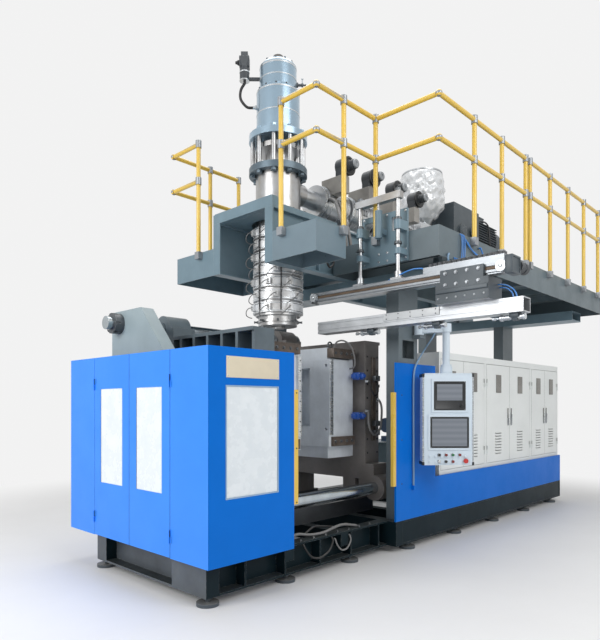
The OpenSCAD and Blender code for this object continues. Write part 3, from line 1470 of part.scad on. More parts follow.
// Operator panel with two recessed screens and two rows of buttons
module panel_case() {
  color([0.82, 0.84, 0.86]) at_datum() translate([panel_x, panel_y, panel_z0]) rotate([0, 0, panel_turn]) {
    difference() {
      union() {
        translate([-panel_w / 2, -panel_d / 2, 0]) cube([panel_w, panel_d, panel_h]);
        translate([-panel_w / 2 - 12, -panel_d / 2 + 30, 14]) cube([panel_w + 24, panel_d - 60, panel_h - 28]);
        translate([0, 0, panel_h]) cylinder(r = panel_post_r + 22, h = neck_h, $fn = bore_fn);
        translate([-156, -panel_d / 2 - 8, panel_h - 360]) cube([336, 9, 310]);
        translate([-189, -panel_d / 2 - 8, panel_h - 710]) cube([400, 9, 330]);
        for (i = [0 : 6]) {
          translate([-170 + i * 55, -panel_d / 2 - 12, panel_h - 768]) rotate([-90, 0, 0])
            cylinder(r = button_r, h = 13, $fn = bore_fn);
        }
        for (i = [0 : 3]) {
          translate([-170 + i * 55, -panel_d / 2 - 12, 28]) rotate([-90, 0, 0])
            cylinder(r = button_r, h = 13, $fn = bore_fn);
        }
      }
      translate([-136, -panel_d / 2 - 9, panel_h - 340]) cube([296, bezel, 270]);
      translate([-169, -panel_d / 2 - 9, panel_h - 690]) cube([360, bezel, 290]);
      translate([0, 0, panel_h]) cylinder(r = panel_post_r + 0.1, h = neck_h + edge, $fn = bore_fn);
      translate([stop_u, -panel_d / 2 - edge, stop_v]) rotate([-90, 0, 0])
        cylinder(r = 12.2, h = 40, $fn = bore_fn);
    }
  }
}

stop_u = 160;
stop_v = 40;

// Mushroom stop button
module stop_button() {
  color([0.80, 0.08, 0.06]) at_datum() translate([panel_x, panel_y, panel_z0]) rotate([0, 0, panel_turn])
    translate([stop_u, -panel_d / 2, stop_v]) rotate([90, 0, 0]) {
      translate([0, 0, -30]) cylinder(r = 12, h = 40, $fn = bore_fn);
      translate([0, 0, stop_travel + 3]) cylinder(r = 22, h = 14, $fn = bore_fn);
    }
}

// Points of a smooth curve through a route, with k points on each part of it
function spline(a, b, c, d, t) = 0.5 * (2 * b + (c - a) * t + (2 * a - 5 * b + 4 * c - d) * t * t
  + (3 * b - a - 3 * c + d) * t * t * t);
function curve(p, k) = [for (i = [0 : len(p) - 2]) for (j = [0 : k - 1])
  spline(p[max(i - 1, 0)], p[i], p[i + 1], p[min(i + 2, len(p) - 1)], j / k), p[len(p) - 1]];
function unit(v) = v / norm(v);
function along(p, i) = unit(p[min(i + 1, len(p) - 1)] - p[max(i - 1, 0)]);
function ring(c, t, r, sides) = let (u = unit(cross(t, [0.12, 0.93, 0.34])), v = cross(t, u))
  [for (j = [0 : sides - 1]) c + r * (cos(j * 360 / sides) * u + sin(j * 360 / sides) * v)];

// Round cord along a list of points, closed at both ends
module cord(p, r) {
  sides = 10;
  n = len(p);
  points = [for (i = [0 : n - 1]) each ring(p[i], along(p, i), r, sides)];
  walls = [for (i = [0 : n - 2]) for (j = [0 : sides - 1]) let (k = (j + 1) % sides)
    [i * sides + j, i * sides + k, (i + 1) * sides + k, (i + 1) * sides + j]];
  start = [for (j = [sides - 1 : -1 : 0]) j];
  end = [for (j = [0 : sides - 1]) (n - 1) * sides + j];
  polyhedron(points = points, faces = concat([start], walls, [end]));
}

cable_r = 9;
cable_route = [[2840, -20, 2680], [2840, -20, 2560], [2822, -20, 2250], [2790, -18, 2080],
  [2600, -17, 1900], [2440, -16, 1730], [2405, -16, 1560], [2405, -16, 1100], [2405, -16, 700], [2405, -16, 600]];
cable_end = cable_route[len(cable_route) - 1];
hose_r = 7;
hose_route = [[2620, -570, 2780], [2620, -577, 2780], [2622, -586, 2778], [2650, -592, 2730],
  [2720, -592, 2670], [2800, -592, 2700], [2880, -592, 2650], [2940, -592, 2710], [2960, -586, 2758],
  [2960, -577, 2760], [2960, -570, 2760]];
hose_end = hose_route[len(hose_route) - 1];
gland_t = 10;

// Cable from the gallery to the cover
module panel_cable() {
  color([0.45, 0.62, 0.80]) at_datum() cord(curve(cable_route, 4), cable_r);
}

// Air hose on the gallery's face
module air_hose() {
  color([0.15, 0.45, 0.85]) at_datum() cord(curve(hose_route, 4), hose_r);
}

base_frame();
levelling_feet();
bed_rails();
cover_near();
cover_far();
cover_window();
door_near();
door_far();
door_window_near();
door_window_far();
right_cover();
guard_strips();
cabinet_shells();
cabinet_door_1();
cabinet_door_2();
cabinet_door_3();
cabinet_door_4();
cabinet_door_5();
cabinet_door_6();
columns();
oil_tank();
pump_motor();
yoke();
tie_bars();
tie_bar_nuts();
clamp_cylinder();
clamp_rod();
platen_left();
platen_right();
mould_left();
mould_right();
platform_beams();
walkway_near();
walkway_far();
gallery();
railing_near();
railing_far();
railing_gallery();
head_carrier();
head_barrel();
heater_bands();
head_columns();
push_cylinder();
die_pin();
plunger_ring();
extruder_barrel();
barrel_blowers();
hopper();
hopper_wrap();
gearbox();
extruder_motor();
lift_guides();
lift_frame();
take_out_beam();
take_out_carriage();
panel_arm();
panel_case();
stop_button();
panel_cable();
air_hose();
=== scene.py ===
import bmesh
import bpy
import math
from mathutils import Matrix, Vector


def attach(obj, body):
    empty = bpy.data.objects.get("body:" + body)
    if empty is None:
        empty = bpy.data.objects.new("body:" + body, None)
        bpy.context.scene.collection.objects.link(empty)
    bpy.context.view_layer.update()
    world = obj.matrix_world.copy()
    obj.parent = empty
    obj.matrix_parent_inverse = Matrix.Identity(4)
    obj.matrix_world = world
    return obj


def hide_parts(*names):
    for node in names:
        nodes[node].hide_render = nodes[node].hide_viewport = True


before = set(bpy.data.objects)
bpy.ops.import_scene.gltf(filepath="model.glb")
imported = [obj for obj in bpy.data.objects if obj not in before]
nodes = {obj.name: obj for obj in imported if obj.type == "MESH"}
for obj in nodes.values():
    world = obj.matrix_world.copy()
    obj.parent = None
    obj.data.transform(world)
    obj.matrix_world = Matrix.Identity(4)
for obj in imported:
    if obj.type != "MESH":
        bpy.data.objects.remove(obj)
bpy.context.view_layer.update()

scene = bpy.context.scene
print("frame loaded,", len(nodes), "nodes")

originAt = (115, 155)  # the frame's origin, in millimetres from the clamp cover's near corner
nearSide, farSide = (0, -1, 0), (0, 1, 0)
leftSide, rightSide = (-1, 0, 0), (1, 0, 0)
downSide, upSide = (0, 0, -1), (0, 0, 1)


def at(s, t, z):
    # millimetres from the cover's near corner to metres in the frame
    return Vector(((s - originAt[0]) / 1000, (t - originAt[1]) / 1000, z / 1000))


def deselect():
    if bpy.context.object and bpy.context.object.mode != "OBJECT":
        bpy.ops.object.mode_set(mode="OBJECT")
    bpy.ops.object.select_all(action="DESELECT")


# ---------------------------------------------------------------- camera
cameraView = {
    "place": (-2298, -3010, 1360),  # millimetres from the cover's near corner
    "heading": 46.4,  # degrees from +Y towards +X
    "lens": 32.5, "sensor": 36, "shift": 85 / 640, "reach": 200,
}
bpy.ops.object.camera_add(location=at(*cameraView["place"]))
camera = bpy.context.object
camera.name = "photoCamera"
camera.rotation_euler = (math.radians(90), 0, -math.radians(cameraView["heading"]))
camera.data.lens = cameraView["lens"]
camera.data.sensor_width = cameraView["sensor"]
camera.data.shift_y = cameraView["shift"]
camera.data.clip_end = cameraView["reach"]
scene.camera = camera
scene.view_settings.view_transform = "Standard"
print("camera set")


# ---------------------------------------------------------------- cords
cordRoutes = {
    "panelCable": {
        "node": "panel_cable", "radius": 9,
        "points": [(2840, -20, 2680), (2840, -20, 2560), (2822, -20, 2250), (2790, -18, 2080),
                   (2600, -17, 1900), (2440, -16, 1730), (2405, -16, 1560), (2405, -16, 1100),
                   (2405, -16, 700), (2405, -16, 600)],
    },
    "airHose": {
        "node": "air_hose", "radius": 7,
        "points": [(2620, -570, 2780), (2620, -577, 2780), (2622, -586, 2778), (2650, -592, 2730),
                   (2720, -592, 2670), (2800, -592, 2700), (2880, -592, 2650), (2940, -592, 2710),
                   (2960, -586, 2758), (2960, -577, 2760), (2960, -570, 2760)],
    },
}
routeSteps = 4


def smoothRoute(points):
    # a curve through the points, with the same number of steps between each two
    route = []
    for i in range(len(points) - 1):
        a, b = points[max(i - 1, 0)], points[i]
        c, d = points[i + 1], points[min(i + 2, len(points) - 1)]
        for j in range(routeSteps):
            t = j / routeSteps
            route.append(0.5 * (2 * b + (c - a) * t + (2 * a - 5 * b + 4 * c - d) * t * t
                                + (3 * b - a - 3 * c + d) * t * t * t))
    return route + [points[-1]]


def layCord(name, radius, points):
    # radius and points in millimetres
    route = smoothRoute([at(*p) for p in points])
    curve = bpy.data.curves.new(name, "CURVE")
    curve.dimensions = "3D"
    curve.bevel_depth = 1
    curve.bevel_resolution = 4
    curve.use_fill_caps = True
    line = curve.splines.new("POLY")
    line.points.add(len(route) - 1)
    for point, place in zip(line.points, route):
        point.co = (*place, 1)
        point.radius = radius / 1000
    piece = bpy.data.objects.new(name, curve)
    scene.collection.objects.link(piece)
    return piece, route


cords = {}
for name, cord in cordRoutes.items():
    cords[name], route = layCord(name, cord["radius"], cord["points"])
    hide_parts(cord["node"])
    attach(cords[name], "base")
print("cords made")


# ---------------------------------------------------------------- shared shader groups
def newGroup(name, inputs, outputs):
    # inputs as name, kind and value, outputs as name and kind
    group = bpy.data.node_groups.new(name, "ShaderNodeTree")
    for socketName, kind, value in inputs:
        socket = group.interface.new_socket(name=socketName, in_out="INPUT", socket_type="NodeSocket" + kind)
        socket.default_value = value
    for socketName, kind in outputs:
        group.interface.new_socket(name=socketName, in_out="OUTPUT", socket_type="NodeSocket" + kind)
    return group, group.nodes.new("NodeGroupInput"), group.nodes.new("NodeGroupOutput")


def setInputs(node, values):
    # sockets are linked, other values are set
    for key, value in values.items():
        if isinstance(value, bpy.types.NodeSocket):
            node.id_data.links.new(value, node.inputs[key])
        else:
            node.inputs[key].default_value = value


def addNode(tree, kind, values=None, **settings):
    node = tree.nodes.new("ShaderNode" + kind)
    for key, value in settings.items():
        setattr(node, key, value)
    setInputs(node, values or {})
    return node


def mathNode(tree, operation, first, second, clamp=False):
    return addNode(tree, "Math", {0: first, 1: second}, operation=operation, use_clamp=clamp).outputs[0]


def ownPlace(tree):
    return addNode(tree, "TexCoord").outputs["Object"]


def addNoise(tree, **values):
    return addNode(tree, "TexNoise", {"Vector": ownPlace(tree), **values}).outputs["Fac"]


def buildMottle():
    group, inside, outside = newGroup("mottle", [("Scale", "Float", 5.0), ("Detail", "Float", 4.0)],
                                      [("Value", "Float")])
    noise = addNoise(group, Scale=inside.outputs["Scale"], Detail=inside.outputs["Detail"], Roughness=0.62)
    spread = addNode(group, "MapRange", {"Value": noise, "From Min": 0.3, "From Max": 0.7})
    setInputs(outside, {"Value": spread.outputs[0]})
    return group


def buildEdgeWear():
    # bright where the surface turns within the radius, broken up by noise
    group, inside, outside = newGroup("edgeWear", [("Radius", "Float", 0.004), ("Amount", "Float", 0.5)],
                                      [("Mask", "Float"), ("Normal", "Vector")])
    rounded = addNode(group, "Bevel", {"Radius": inside.outputs["Radius"]}, samples=4).outputs["Normal"]
    flat = addNode(group, "NewGeometry").outputs["Normal"]
    dot = addNode(group, "VectorMath", {0: rounded, 1: flat}, operation="DOT_PRODUCT").outputs["Value"]
    turned = mathNode(group, "SUBTRACT", 1.0, dot, clamp=True)
    noise = addNoise(group, Scale=38.0, Detail=5.0, Roughness=0.7)
    broken = mathNode(group, "SUBTRACT", noise, 0.42, clamp=True)
    mask = mathNode(group, "MULTIPLY", mathNode(group, "MULTIPLY", turned, 26.0), broken)
    mask = mathNode(group, "MULTIPLY", mask, inside.outputs["Amount"], clamp=True)
    setInputs(outside, {"Mask": mask, "Normal": rounded})
    return group


def buildDust():
    # settles on faces that look up, thicker in patches
    group, inside, outside = newGroup("dust", [("Amount", "Float", 0.3)], [("Mask", "Float")])
    split = addNode(group, "SeparateXYZ", {0: addNode(group, "NewGeometry").outputs["Normal"]})
    upward = mathNode(group, "SUBTRACT", split.outputs["Z"], 0.45, clamp=True)
    patches = mathNode(group, "MULTIPLY", addNoise(group, Scale=6.0, Detail=6.0, Roughness=0.7), 2.4)
    mask = mathNode(group, "MULTIPLY", upward, patches)
    setInputs(outside, {"Mask": mathNode(group, "MULTIPLY", mask, inside.outputs["Amount"], clamp=True)})
    return group


def buildBrush():
    # fine lines drawn out along one axis
    group, inside, outside = newGroup("brushLines", [("Stretch", "Vector", (4.0, 90.0, 90.0))],
                                      [("Value", "Float")])
    drawn = addNode(group, "VectorMath", {0: ownPlace(group), 1: inside.outputs["Stretch"]},
                    operation="MULTIPLY").outputs[0]
    noise = addNode(group, "TexNoise", {"Vector": drawn, "Scale": 1.0, "Detail": 5.0, "Roughness": 0.75})
    setInputs(outside, {"Value": noise.outputs["Fac"]})
    return group


groups = {"mottle": buildMottle(), "edgeWear": buildEdgeWear(), "dust": buildDust(), "brush": buildBrush()}


def useGroup(tree, key, **values):
    return addNode(tree, "Group", values, node_tree=groups[key])


# ---------------------------------------------------------------- finishes
dustColour = (0.42, 0.40, 0.36)
brightEdge = (0.75, 0.76, 0.77)


def newMaterial(name):
    material = bpy.data.materials.new(name)
    material.use_nodes = True
    return material, material.node_tree, material.node_tree.nodes["Principled BSDF"]


def mixColour(tree, factor, first, second):
    values = {"Factor": factor}
    for key, colour in (("A", first), ("B", second)):
        values[key] = (*colour, 1.0) if isinstance(colour, tuple) else colour
    return addNode(tree, "Mix", values, data_type="RGBA").outputs["Result"]


def mapValue(tree, value, low, high):
    return addNode(tree, "MapRange", {"Value": value, "To Min": low, "To Max": high}).outputs[0]


def endSurface(tree, shader, colour, dust, worn, height, strength, depth):
    # dust over the colour, and the bump on top of the rounded edges
    settled = useGroup(tree, "dust", Amount=dust).outputs["Mask"]
    bump = addNode(tree, "Bump", {"Strength": strength, "Distance": depth, "Height": height,
                                  "Normal": worn.outputs["Normal"]})
    setInputs(shader, {"Base Color": mixColour(tree, settled, colour, dustColour), "Normal": bump.outputs[0]})


def paintMaterial(name, colour, rough, patchScale=3.0, patchShade=0.86, wear=0.5, wornTo=(0.45, 0.46, 0.46),
                  dust=0.25, metal=0.0, coat=0.0, shine=0.5, peel=0.05, peelScale=180.0):
    # sprayed paint: slight orange peel, worn edges, dust on top, patches of wear
    material, tree, shader = newMaterial(name)
    patches = useGroup(tree, "mottle", Scale=patchScale).outputs["Value"]
    result = mixColour(tree, patches, tuple(c * patchShade for c in colour), colour)
    worn = useGroup(tree, "edgeWear", Radius=0.003, Amount=wear)
    result = mixColour(tree, worn.outputs["Mask"], result, wornTo)
    setInputs(shader, {"Roughness": mapValue(tree, patches, rough * 1.15, rough * 0.85), "Metallic": metal,
                       "Coat Weight": coat, "Coat Roughness": 0.12, "Specular IOR Level": shine})
    grain = useGroup(tree, "mottle", Scale=peelScale, Detail=2.0)
    endSurface(tree, shader, result, dust, worn, grain.outputs["Value"], peel, 0.002)
    return material


def steelMaterial(name, colour, rough, metal=1.0, stain=None, stainScale=5.0, stretch=(5.0, 120.0, 120.0),
                  lines=0.06, dust=0.15):
    # machined or brushed metal: drawn lines, heat or oil stains, bright edges
    material, tree, shader = newMaterial(name)
    stains = useGroup(tree, "mottle", Scale=stainScale, Detail=6.0)
    result = mixColour(tree, stains.outputs["Value"], stain or tuple(c * 0.7 for c in colour), colour)
    drawn = useGroup(tree, "brush", Stretch=stretch).outputs["Value"]
    brighter = tuple(min(1.0, c * 1.25) for c in colour)
    result = mixColour(tree, mapValue(tree, drawn, 0.0, 0.25), result, brighter)
    worn = useGroup(tree, "edgeWear", Radius=0.002, Amount=0.6)
    result = mixColour(tree, worn.outputs["Mask"], result, brightEdge)
    setInputs(shader, {"Roughness": mapValue(tree, drawn, rough * 0.75, rough * 1.3), "Metallic": metal})
    endSurface(tree, shader, result, dust, worn, drawn, lines, 0.001)
    return material


paints = {
    "coverBlue": dict(colour=(0.0, 0.155, 0.64), rough=0.42, shine=0.12, wear=0.25, patchShade=0.93, dust=0.0,
                      wornTo=(0.25, 0.45, 0.85)),
    # litCoverBlue is coverBlue painted lighter: a painted highlight for the faces that look towards the light
    # on the left
    "litCoverBlue": dict(colour=(0.035, 0.255, 0.93), rough=0.36, shine=0.3, wear=0.25, patchShade=0.93, dust=0.0,
                     wornTo=(0.3, 0.5, 0.9)),
    "cabinetGrey": dict(colour=(0.80, 0.83, 0.82), rough=0.42, peel=0.10, peelScale=420.0, wear=0.2,
                        patchShade=0.94, dust=0.10, wornTo=(0.7, 0.72, 0.7)),
    "baseBlack": dict(colour=(0.008, 0.019, 0.025), rough=0.40, shine=0.12, wear=0.6, dust=0.10,
                      patchShade=0.7),
    # litBaseEnd is a lighter copy of baseBlack: a painted highlight for the base's end faces that look towards
    # the light on the left
    "litBaseEnd": dict(colour=(0.085, 0.10, 0.115), rough=0.45, wear=0.6, dust=0.3, patchShade=0.6),
    "yokeGrey": dict(colour=(0.32, 0.40, 0.43), rough=0.40, dust=0.2, patchShade=0.85),
    "flangeBlue": dict(colour=(0.13, 0.18, 0.22), rough=0.34, metal=0.4, wear=0.6, dust=0.15, patchShade=0.75),
    "footGrey": dict(colour=(0.060, 0.075, 0.09), rough=0.45, wear=0.7, dust=0.4),
    "frameGrey": dict(colour=(0.175, 0.265, 0.32), rough=0.42, dust=0.2, patchShade=0.8),
    "columnGrey": dict(colour=(0.14, 0.175, 0.195), rough=0.42, dust=0.3, patchShade=0.8),
    "platformGrey": dict(colour=(0.12, 0.16, 0.18), rough=0.42, dust=0.3, patchShade=0.8),
    "walkGrey": dict(colour=(0.17, 0.24, 0.285), rough=0.36, wear=0.4, dust=0.3, coat=0.2),
    "safetyYellow": dict(colour=(0.78, 0.52, 0.07), rough=0.30, coat=0.4, wear=0.2, dust=0.05, peel=0.03,
                         patchShade=0.92, wornTo=(0.7, 0.55, 0.25)),
    "cylinderBlue": dict(colour=(0.31, 0.43, 0.53), rough=0.24, metal=0.65, coat=0.5, wear=0.3,
                         patchShade=0.85, dust=0.1),
    "motorBlue": dict(colour=(0.05, 0.11, 0.22), rough=0.4),
    "clampGrey": dict(colour=(0.14, 0.18, 0.205), rough=0.45, wear=0.6, dust=0.35, patchShade=0.7),
    "clampBrown": dict(colour=(0.20, 0.185, 0.175), rough=0.5, wear=0.7, dust=0.3, patchShade=0.6),
    "gearGrey": dict(colour=(0.065, 0.085, 0.10), rough=0.42, dust=0.3, patchShade=0.75),
    "blowerGrey": dict(colour=(0.045, 0.052, 0.060), rough=0.45, wear=0.6, dust=0.3),
    "panelGrey": dict(colour=(0.62, 0.71, 0.79), rough=0.36, peel=0.08, peelScale=380.0, wear=0.25,
                      patchShade=0.95, dust=0.08),
    "cableBlue": dict(colour=(0.20, 0.33, 0.48), rough=0.5, wear=0.0, dust=0.1),
    "hoseBlue": dict(colour=(0.035, 0.23, 0.66), rough=0.35, coat=0.4, wear=0.0, dust=0.05),
    "bezelBlack": dict(colour=(0.012, 0.014, 0.016), rough=0.38, wear=0.2, dust=0.1),
    "rubberBlack": dict(colour=(0.014, 0.014, 0.015), rough=0.55, wear=0.0),
    "filterGrey": dict(colour=(0.24, 0.235, 0.22), rough=0.6, wear=0.2, dust=0.3),
    "ductGrey": dict(colour=(0.40, 0.385, 0.36), rough=0.40, metal=0.5, wear=0.6, dust=0.2, patchShade=0.6),
    "conduitGrey": dict(colour=(0.20, 0.20, 0.20), rough=0.45, wear=0.0, dust=0.3, peel=0.5, peelScale=260.0),
    "couplingBlue": dict(colour=(0.010, 0.085, 0.42), rough=0.34, coat=0.3, dust=0.15),
    "rustBrown": dict(colour=(0.155, 0.125, 0.105), rough=0.55, metal=0.35, wear=0.7, dust=0.3,
                      patchShade=0.45, patchScale=9.0),
    "fittingGrey": dict(colour=(0.33, 0.35, 0.37), rough=0.38, metal=0.6, dust=0.2),
    "plateWhite": dict(colour=(0.66, 0.68, 0.69), rough=0.34, coat=0.2, wear=0.3, dust=0.1),
    "beltBrown": dict(colour=(0.17, 0.115, 0.075), rough=0.6, wear=0.2, dust=0.3, patchShade=0.6),
    "windowRubber": dict(colour=(0.30, 0.45, 0.62), rough=0.5, wear=0.1, dust=0.1),
    "plateCream": dict(colour=(0.74, 0.66, 0.50), rough=0.32, coat=0.3, wear=0.2, dust=0.08),
    "wrapFilm": dict(colour=(0.76, 0.78, 0.80), rough=0.26, metal=0.2, coat=0.5, wear=0.0, dust=0.0, peel=0.8,
                     peelScale=16.0, patchShade=0.8, patchScale=9.0),
}
buttonColours = {  # colour and coat
    "buttonRed": ((0.55, 0.02, 0.015), 0.5), "buttonBlack": ((0.012, 0.012, 0.013), 0.3),
    "buttonDarkRed": ((0.22, 0.012, 0.010), 0.4), "buttonGreen": ((0.012, 0.16, 0.05), 0.4),
    "buttonWhite": ((0.66, 0.66, 0.64), 0.4),
}
steels = {
    "darkSteel": dict(colour=(0.13, 0.14, 0.15), rough=0.42, metal=0.8),
    "barChrome": dict(colour=(0.50, 0.55, 0.58), rough=0.20, stretch=(3.0, 60.0, 60.0), lines=0.02, dust=0.05),
    "mouldSteel": dict(colour=(0.72, 0.77, 0.83), rough=0.42, metal=0.2, stainScale=3.0,
                       stretch=(60.0, 60.0, 4.0)),
    "headSteel": dict(colour=(0.48, 0.50, 0.52), rough=0.30, stretch=(40.0, 40.0, 4.0),
                      stain=(0.30, 0.28, 0.26)),
    "bandSteel": dict(colour=(0.82, 0.85, 0.88), rough=0.46, metal=0.5, stretch=(8.0, 8.0, 90.0),
                      stain=(0.36, 0.34, 0.32)),
    "brightSteel": dict(colour=(0.62, 0.65, 0.67), rough=0.26, metal=0.9, stretch=(20.0, 20.0, 90.0),
                        dust=0.05),
    "shroudSteel": dict(colour=(0.60, 0.62, 0.64), rough=0.30, stretch=(4.0, 90.0, 90.0)),
    "railSteel": dict(colour=(0.30, 0.32, 0.34), rough=0.34, metal=0.8, stretch=(90.0, 3.0, 90.0)),
    "beamAluminium": dict(colour=(0.54, 0.56, 0.58), rough=0.36, metal=0.8, stretch=(90.0, 3.0, 90.0)),
}
finishes = {name: paintMaterial(name, **finish) for name, finish in paints.items()}
for name, (colour, coat) in buttonColours.items():
    finishes[name] = paintMaterial(name, colour, 0.3, coat=coat, wear=0.1, dust=0.05)
finishes.update({name: steelMaterial(name, **finish) for name, finish in steels.items()})


def paneMaterial():
    material, tree, shader = newMaterial("frostedPane")
    streaks = useGroup(tree, "mottle", Scale=7.0).outputs["Value"]
    setInputs(shader, {"Base Color": mixColour(tree, streaks, (0.70, 0.76, 0.80), (0.80, 0.85, 0.88)),
                       "Roughness": mapValue(tree, streaks, 0.22, 0.32), "Coat Weight": 0.5})
    return material


def screenMaterial():
    # dark glass over faint level bars, with no writing
    material, tree, shader = newMaterial("screenGlow")
    bars = addNode(tree, "TexWave", {"Vector": ownPlace(tree), "Scale": 6.0}, bands_direction="Z")
    face = mixColour(tree, bars.outputs["Fac"], (0.100, 0.114, 0.135), (0.122, 0.137, 0.160))
    setInputs(shader, {"Base Color": face, "Emission Color": face, "Emission Strength": 0.5,
                       "Roughness": 0.12, "Coat Weight": 0.6})
    return material


finishes["frostedPane"] = paneMaterial()
finishes["screenGlow"] = screenMaterial()

finishNodes = {
    "baseBlack": "base_frame", "footGrey": "levelling_feet", "coverBlue": "cover_near right_cover",
    # the doors and the far cover take the lighter blue, a painted highlight for the light on the left
    "litCoverBlue": "cover_far door_near door_far", "frostedPane": "cover_window door_window_near door_window_far",
    "safetyYellow": "guard_strips railing_near railing_far railing_gallery", "columnGrey": "columns",
    "cabinetGrey": "cabinet_shells " + " ".join("cabinet_door_%d" % i for i in range(1, 7)),
    "frameGrey": "oil_tank platform_beams walkway_far head_carrier lift_guides", "motorBlue": "pump_motor",
    "yokeGrey": "yoke", "barChrome": "tie_bars clamp_rod", "darkSteel": "bed_rails tie_bar_nuts clamp_cylinder",
    "clampGrey": "platen_left", "clampBrown": "platen_right", "mouldSteel": "mould_left mould_right",
    "walkGrey": "walkway_near", "platformGrey": "gallery", "bandSteel": "heater_bands",
    "headSteel": "head_barrel head_columns die_pin plunger_ring lift_frame", "cylinderBlue": "push_cylinder",
    "shroudSteel": "extruder_barrel hopper", "blowerGrey": "barrel_blowers", "wrapFilm": "hopper_wrap",
    "gearGrey": "gearbox extruder_motor", "railSteel": "take_out_beam", "beamAluminium": "take_out_carriage",
    "panelGrey": "panel_arm panel_case", "buttonRed": "stop_button", "cableBlue": "panel_cable",
    "hoseBlue": "air_hose",
}


def dress(obj, finish):
    obj.data.materials.clear()
    obj.data.materials.append(finishes[finish])


for finish, names in finishNodes.items():
    for name in names.split():
        dress(nodes[name], finish)
dress(cords["panelCable"], "cableBlue")
dress(cords["airHose"], "hoseBlue")
print("finishes made")


# ---------------------------------------------------------------- ways of modelling
def pickFaces(test):
    bpy.ops.mesh.select_mode(type="FACE")
    bpy.ops.mesh.select_all(action="DESELECT")
    mesh = bmesh.from_edit_mesh(bpy.context.object.data)
    mesh.normal_update()
    for face in mesh.faces:
        face.select_set(bool(test(face.normal)))
    bmesh.update_edit_mesh(bpy.context.object.data)


def pickFacing(side):
    pickFaces(lambda normal: normal.dot(Vector(side)) > 0.9)


def pickEdges(test):
    mesh = bmesh.from_edit_mesh(bpy.context.object.data)
    for edge in mesh.edges:
        edge.select_set(test(edge))
    bmesh.update_edit_mesh(bpy.context.object.data)


def insetPicked(thickness, depth=0):
    bpy.ops.mesh.inset(thickness=thickness / 1000, depth=depth / 1000, use_even_offset=True)


def extrudePicked(x, y, z):
    bpy.ops.mesh.extrude_region_move(TRANSFORM_OT_translate={"value": (x / 1000, y / 1000, z / 1000)})


def roundEdges(width, segments=2):
    bpy.ops.mesh.select_all(action="SELECT")
    bpy.ops.mesh.bevel(offset=width / 1000, segments=segments, affect="EDGES", clamp_overlap=True)


def shapeBlock(low, high, side=None, insets=(), push=None, rounded=None, segments=2):
    # a block between two corners in millimetres, left in edit mode: insets on one side, each a thickness
    # and a depth, then a push of the face that is left, then rounded edges
    a, b = at(*low), at(*high)
    deselect()
    bpy.ops.mesh.primitive_cube_add(size=1, location=(a + b) / 2)
    bpy.context.object.scale = b - a
    bpy.ops.object.transform_apply()
    bpy.ops.object.mode_set(mode="EDIT")
    if side:
        pickFacing(side)
    for inset in insets:
        insetPicked(*inset)
    if push:
        extrudePicked(*push)
    if rounded:
        roundEdges(rounded, segments)
    return bpy.context.object


def turnPiece(profile, place, direction=upSide, sides=32):
    # radius and height pairs in millimetres, built up along the direction
    deselect()
    radius, height = profile[0]
    bpy.ops.mesh.primitive_circle_add(vertices=sides, radius=radius / 1000, fill_type="NGON")
    piece = bpy.context.object
    bpy.ops.object.mode_set(mode="EDIT")
    bpy.ops.mesh.select_all(action="SELECT")
    bpy.ops.transform.translate(value=(0, 0, height / 1000))
    for nextRadius, nextHeight in profile[1:]:
        extrudePicked(0, 0, nextHeight - height)
        grow = nextRadius / radius
        bpy.ops.transform.resize(value=(grow, grow, 1), center_override=(0, 0, nextHeight / 1000))
        radius, height = nextRadius, nextHeight
    bpy.ops.mesh.select_all(action="SELECT")
    bpy.ops.mesh.normals_make_consistent(inside=False)
    bpy.ops.object.mode_set(mode="OBJECT")
    turn = Vector(direction).to_track_quat("Z", "Y").to_matrix().to_4x4()
    piece.data.transform(Matrix.Translation(at(*place)) @ turn)
    return piece


def copyPiece(piece, move):
    twin = piece.copy()
    twin.data = piece.data.copy()
    scene.collection.objects.link(twin)
    twin.data.transform(Matrix.Translation(move))
    return twin


def joinPieces(pieces):
    deselect()
    for piece in pieces:
        piece.select_set(True)
    bpy.context.view_layer.objects.active = pieces[0]
    if len(pieces) > 1:
        bpy.ops.object.join()


def repeatPiece(piece, count, step):
    # the piece and its copies, each a step in millimetres further
    bpy.ops.object.mode_set(mode="OBJECT")
    joinPieces([piece] + [copyPiece(piece, Vector(step) * i / 1000) for i in range(1, count)])


def endPiece(name, body, finish, turn=None, angle=35):
    piece = bpy.context.object
    if piece.mode == "EDIT":
        bpy.ops.mesh.select_all(action="SELECT")
        bpy.ops.mesh.normals_make_consistent(inside=False)
        bpy.ops.object.mode_set(mode="OBJECT")
    if turn:
        piece.data.transform(turn)
    bpy.ops.object.shade_smooth_by_angle(angle=math.radians(angle))
    piece.name = name
    dress(piece, finish)
    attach(piece, body)


def makeBlock(name, body, finish, low, high, side=None, insets=(), turn=None, **shape):
    shapeBlock(low, high, side, insets, **shape)
    endPiece(name, body, finish, turn)


def makeTurned(name, body, finish, profile, places, direction=upSide, sides=32, turn=None):
    joinPieces([turnPiece(profile, place, direction, sides) for place in places])
    endPiece(name, body, finish, turn)


def boltRow(name, body, finish, places, direction, radius, height, sides=6):
    # one hexagon bolt on its washer, copied to each place
    first = turnPiece([(radius * 1.3, 0), (radius * 1.3, height * 0.2), (radius, height * 0.2),
                       (radius, height * 0.85), (radius * 0.82, height)], places[0], direction, sides)
    joinPieces([first] + [copyPiece(first, at(*place) - at(*places[0])) for place in places[1:]])
    endPiece(name, body, finish)


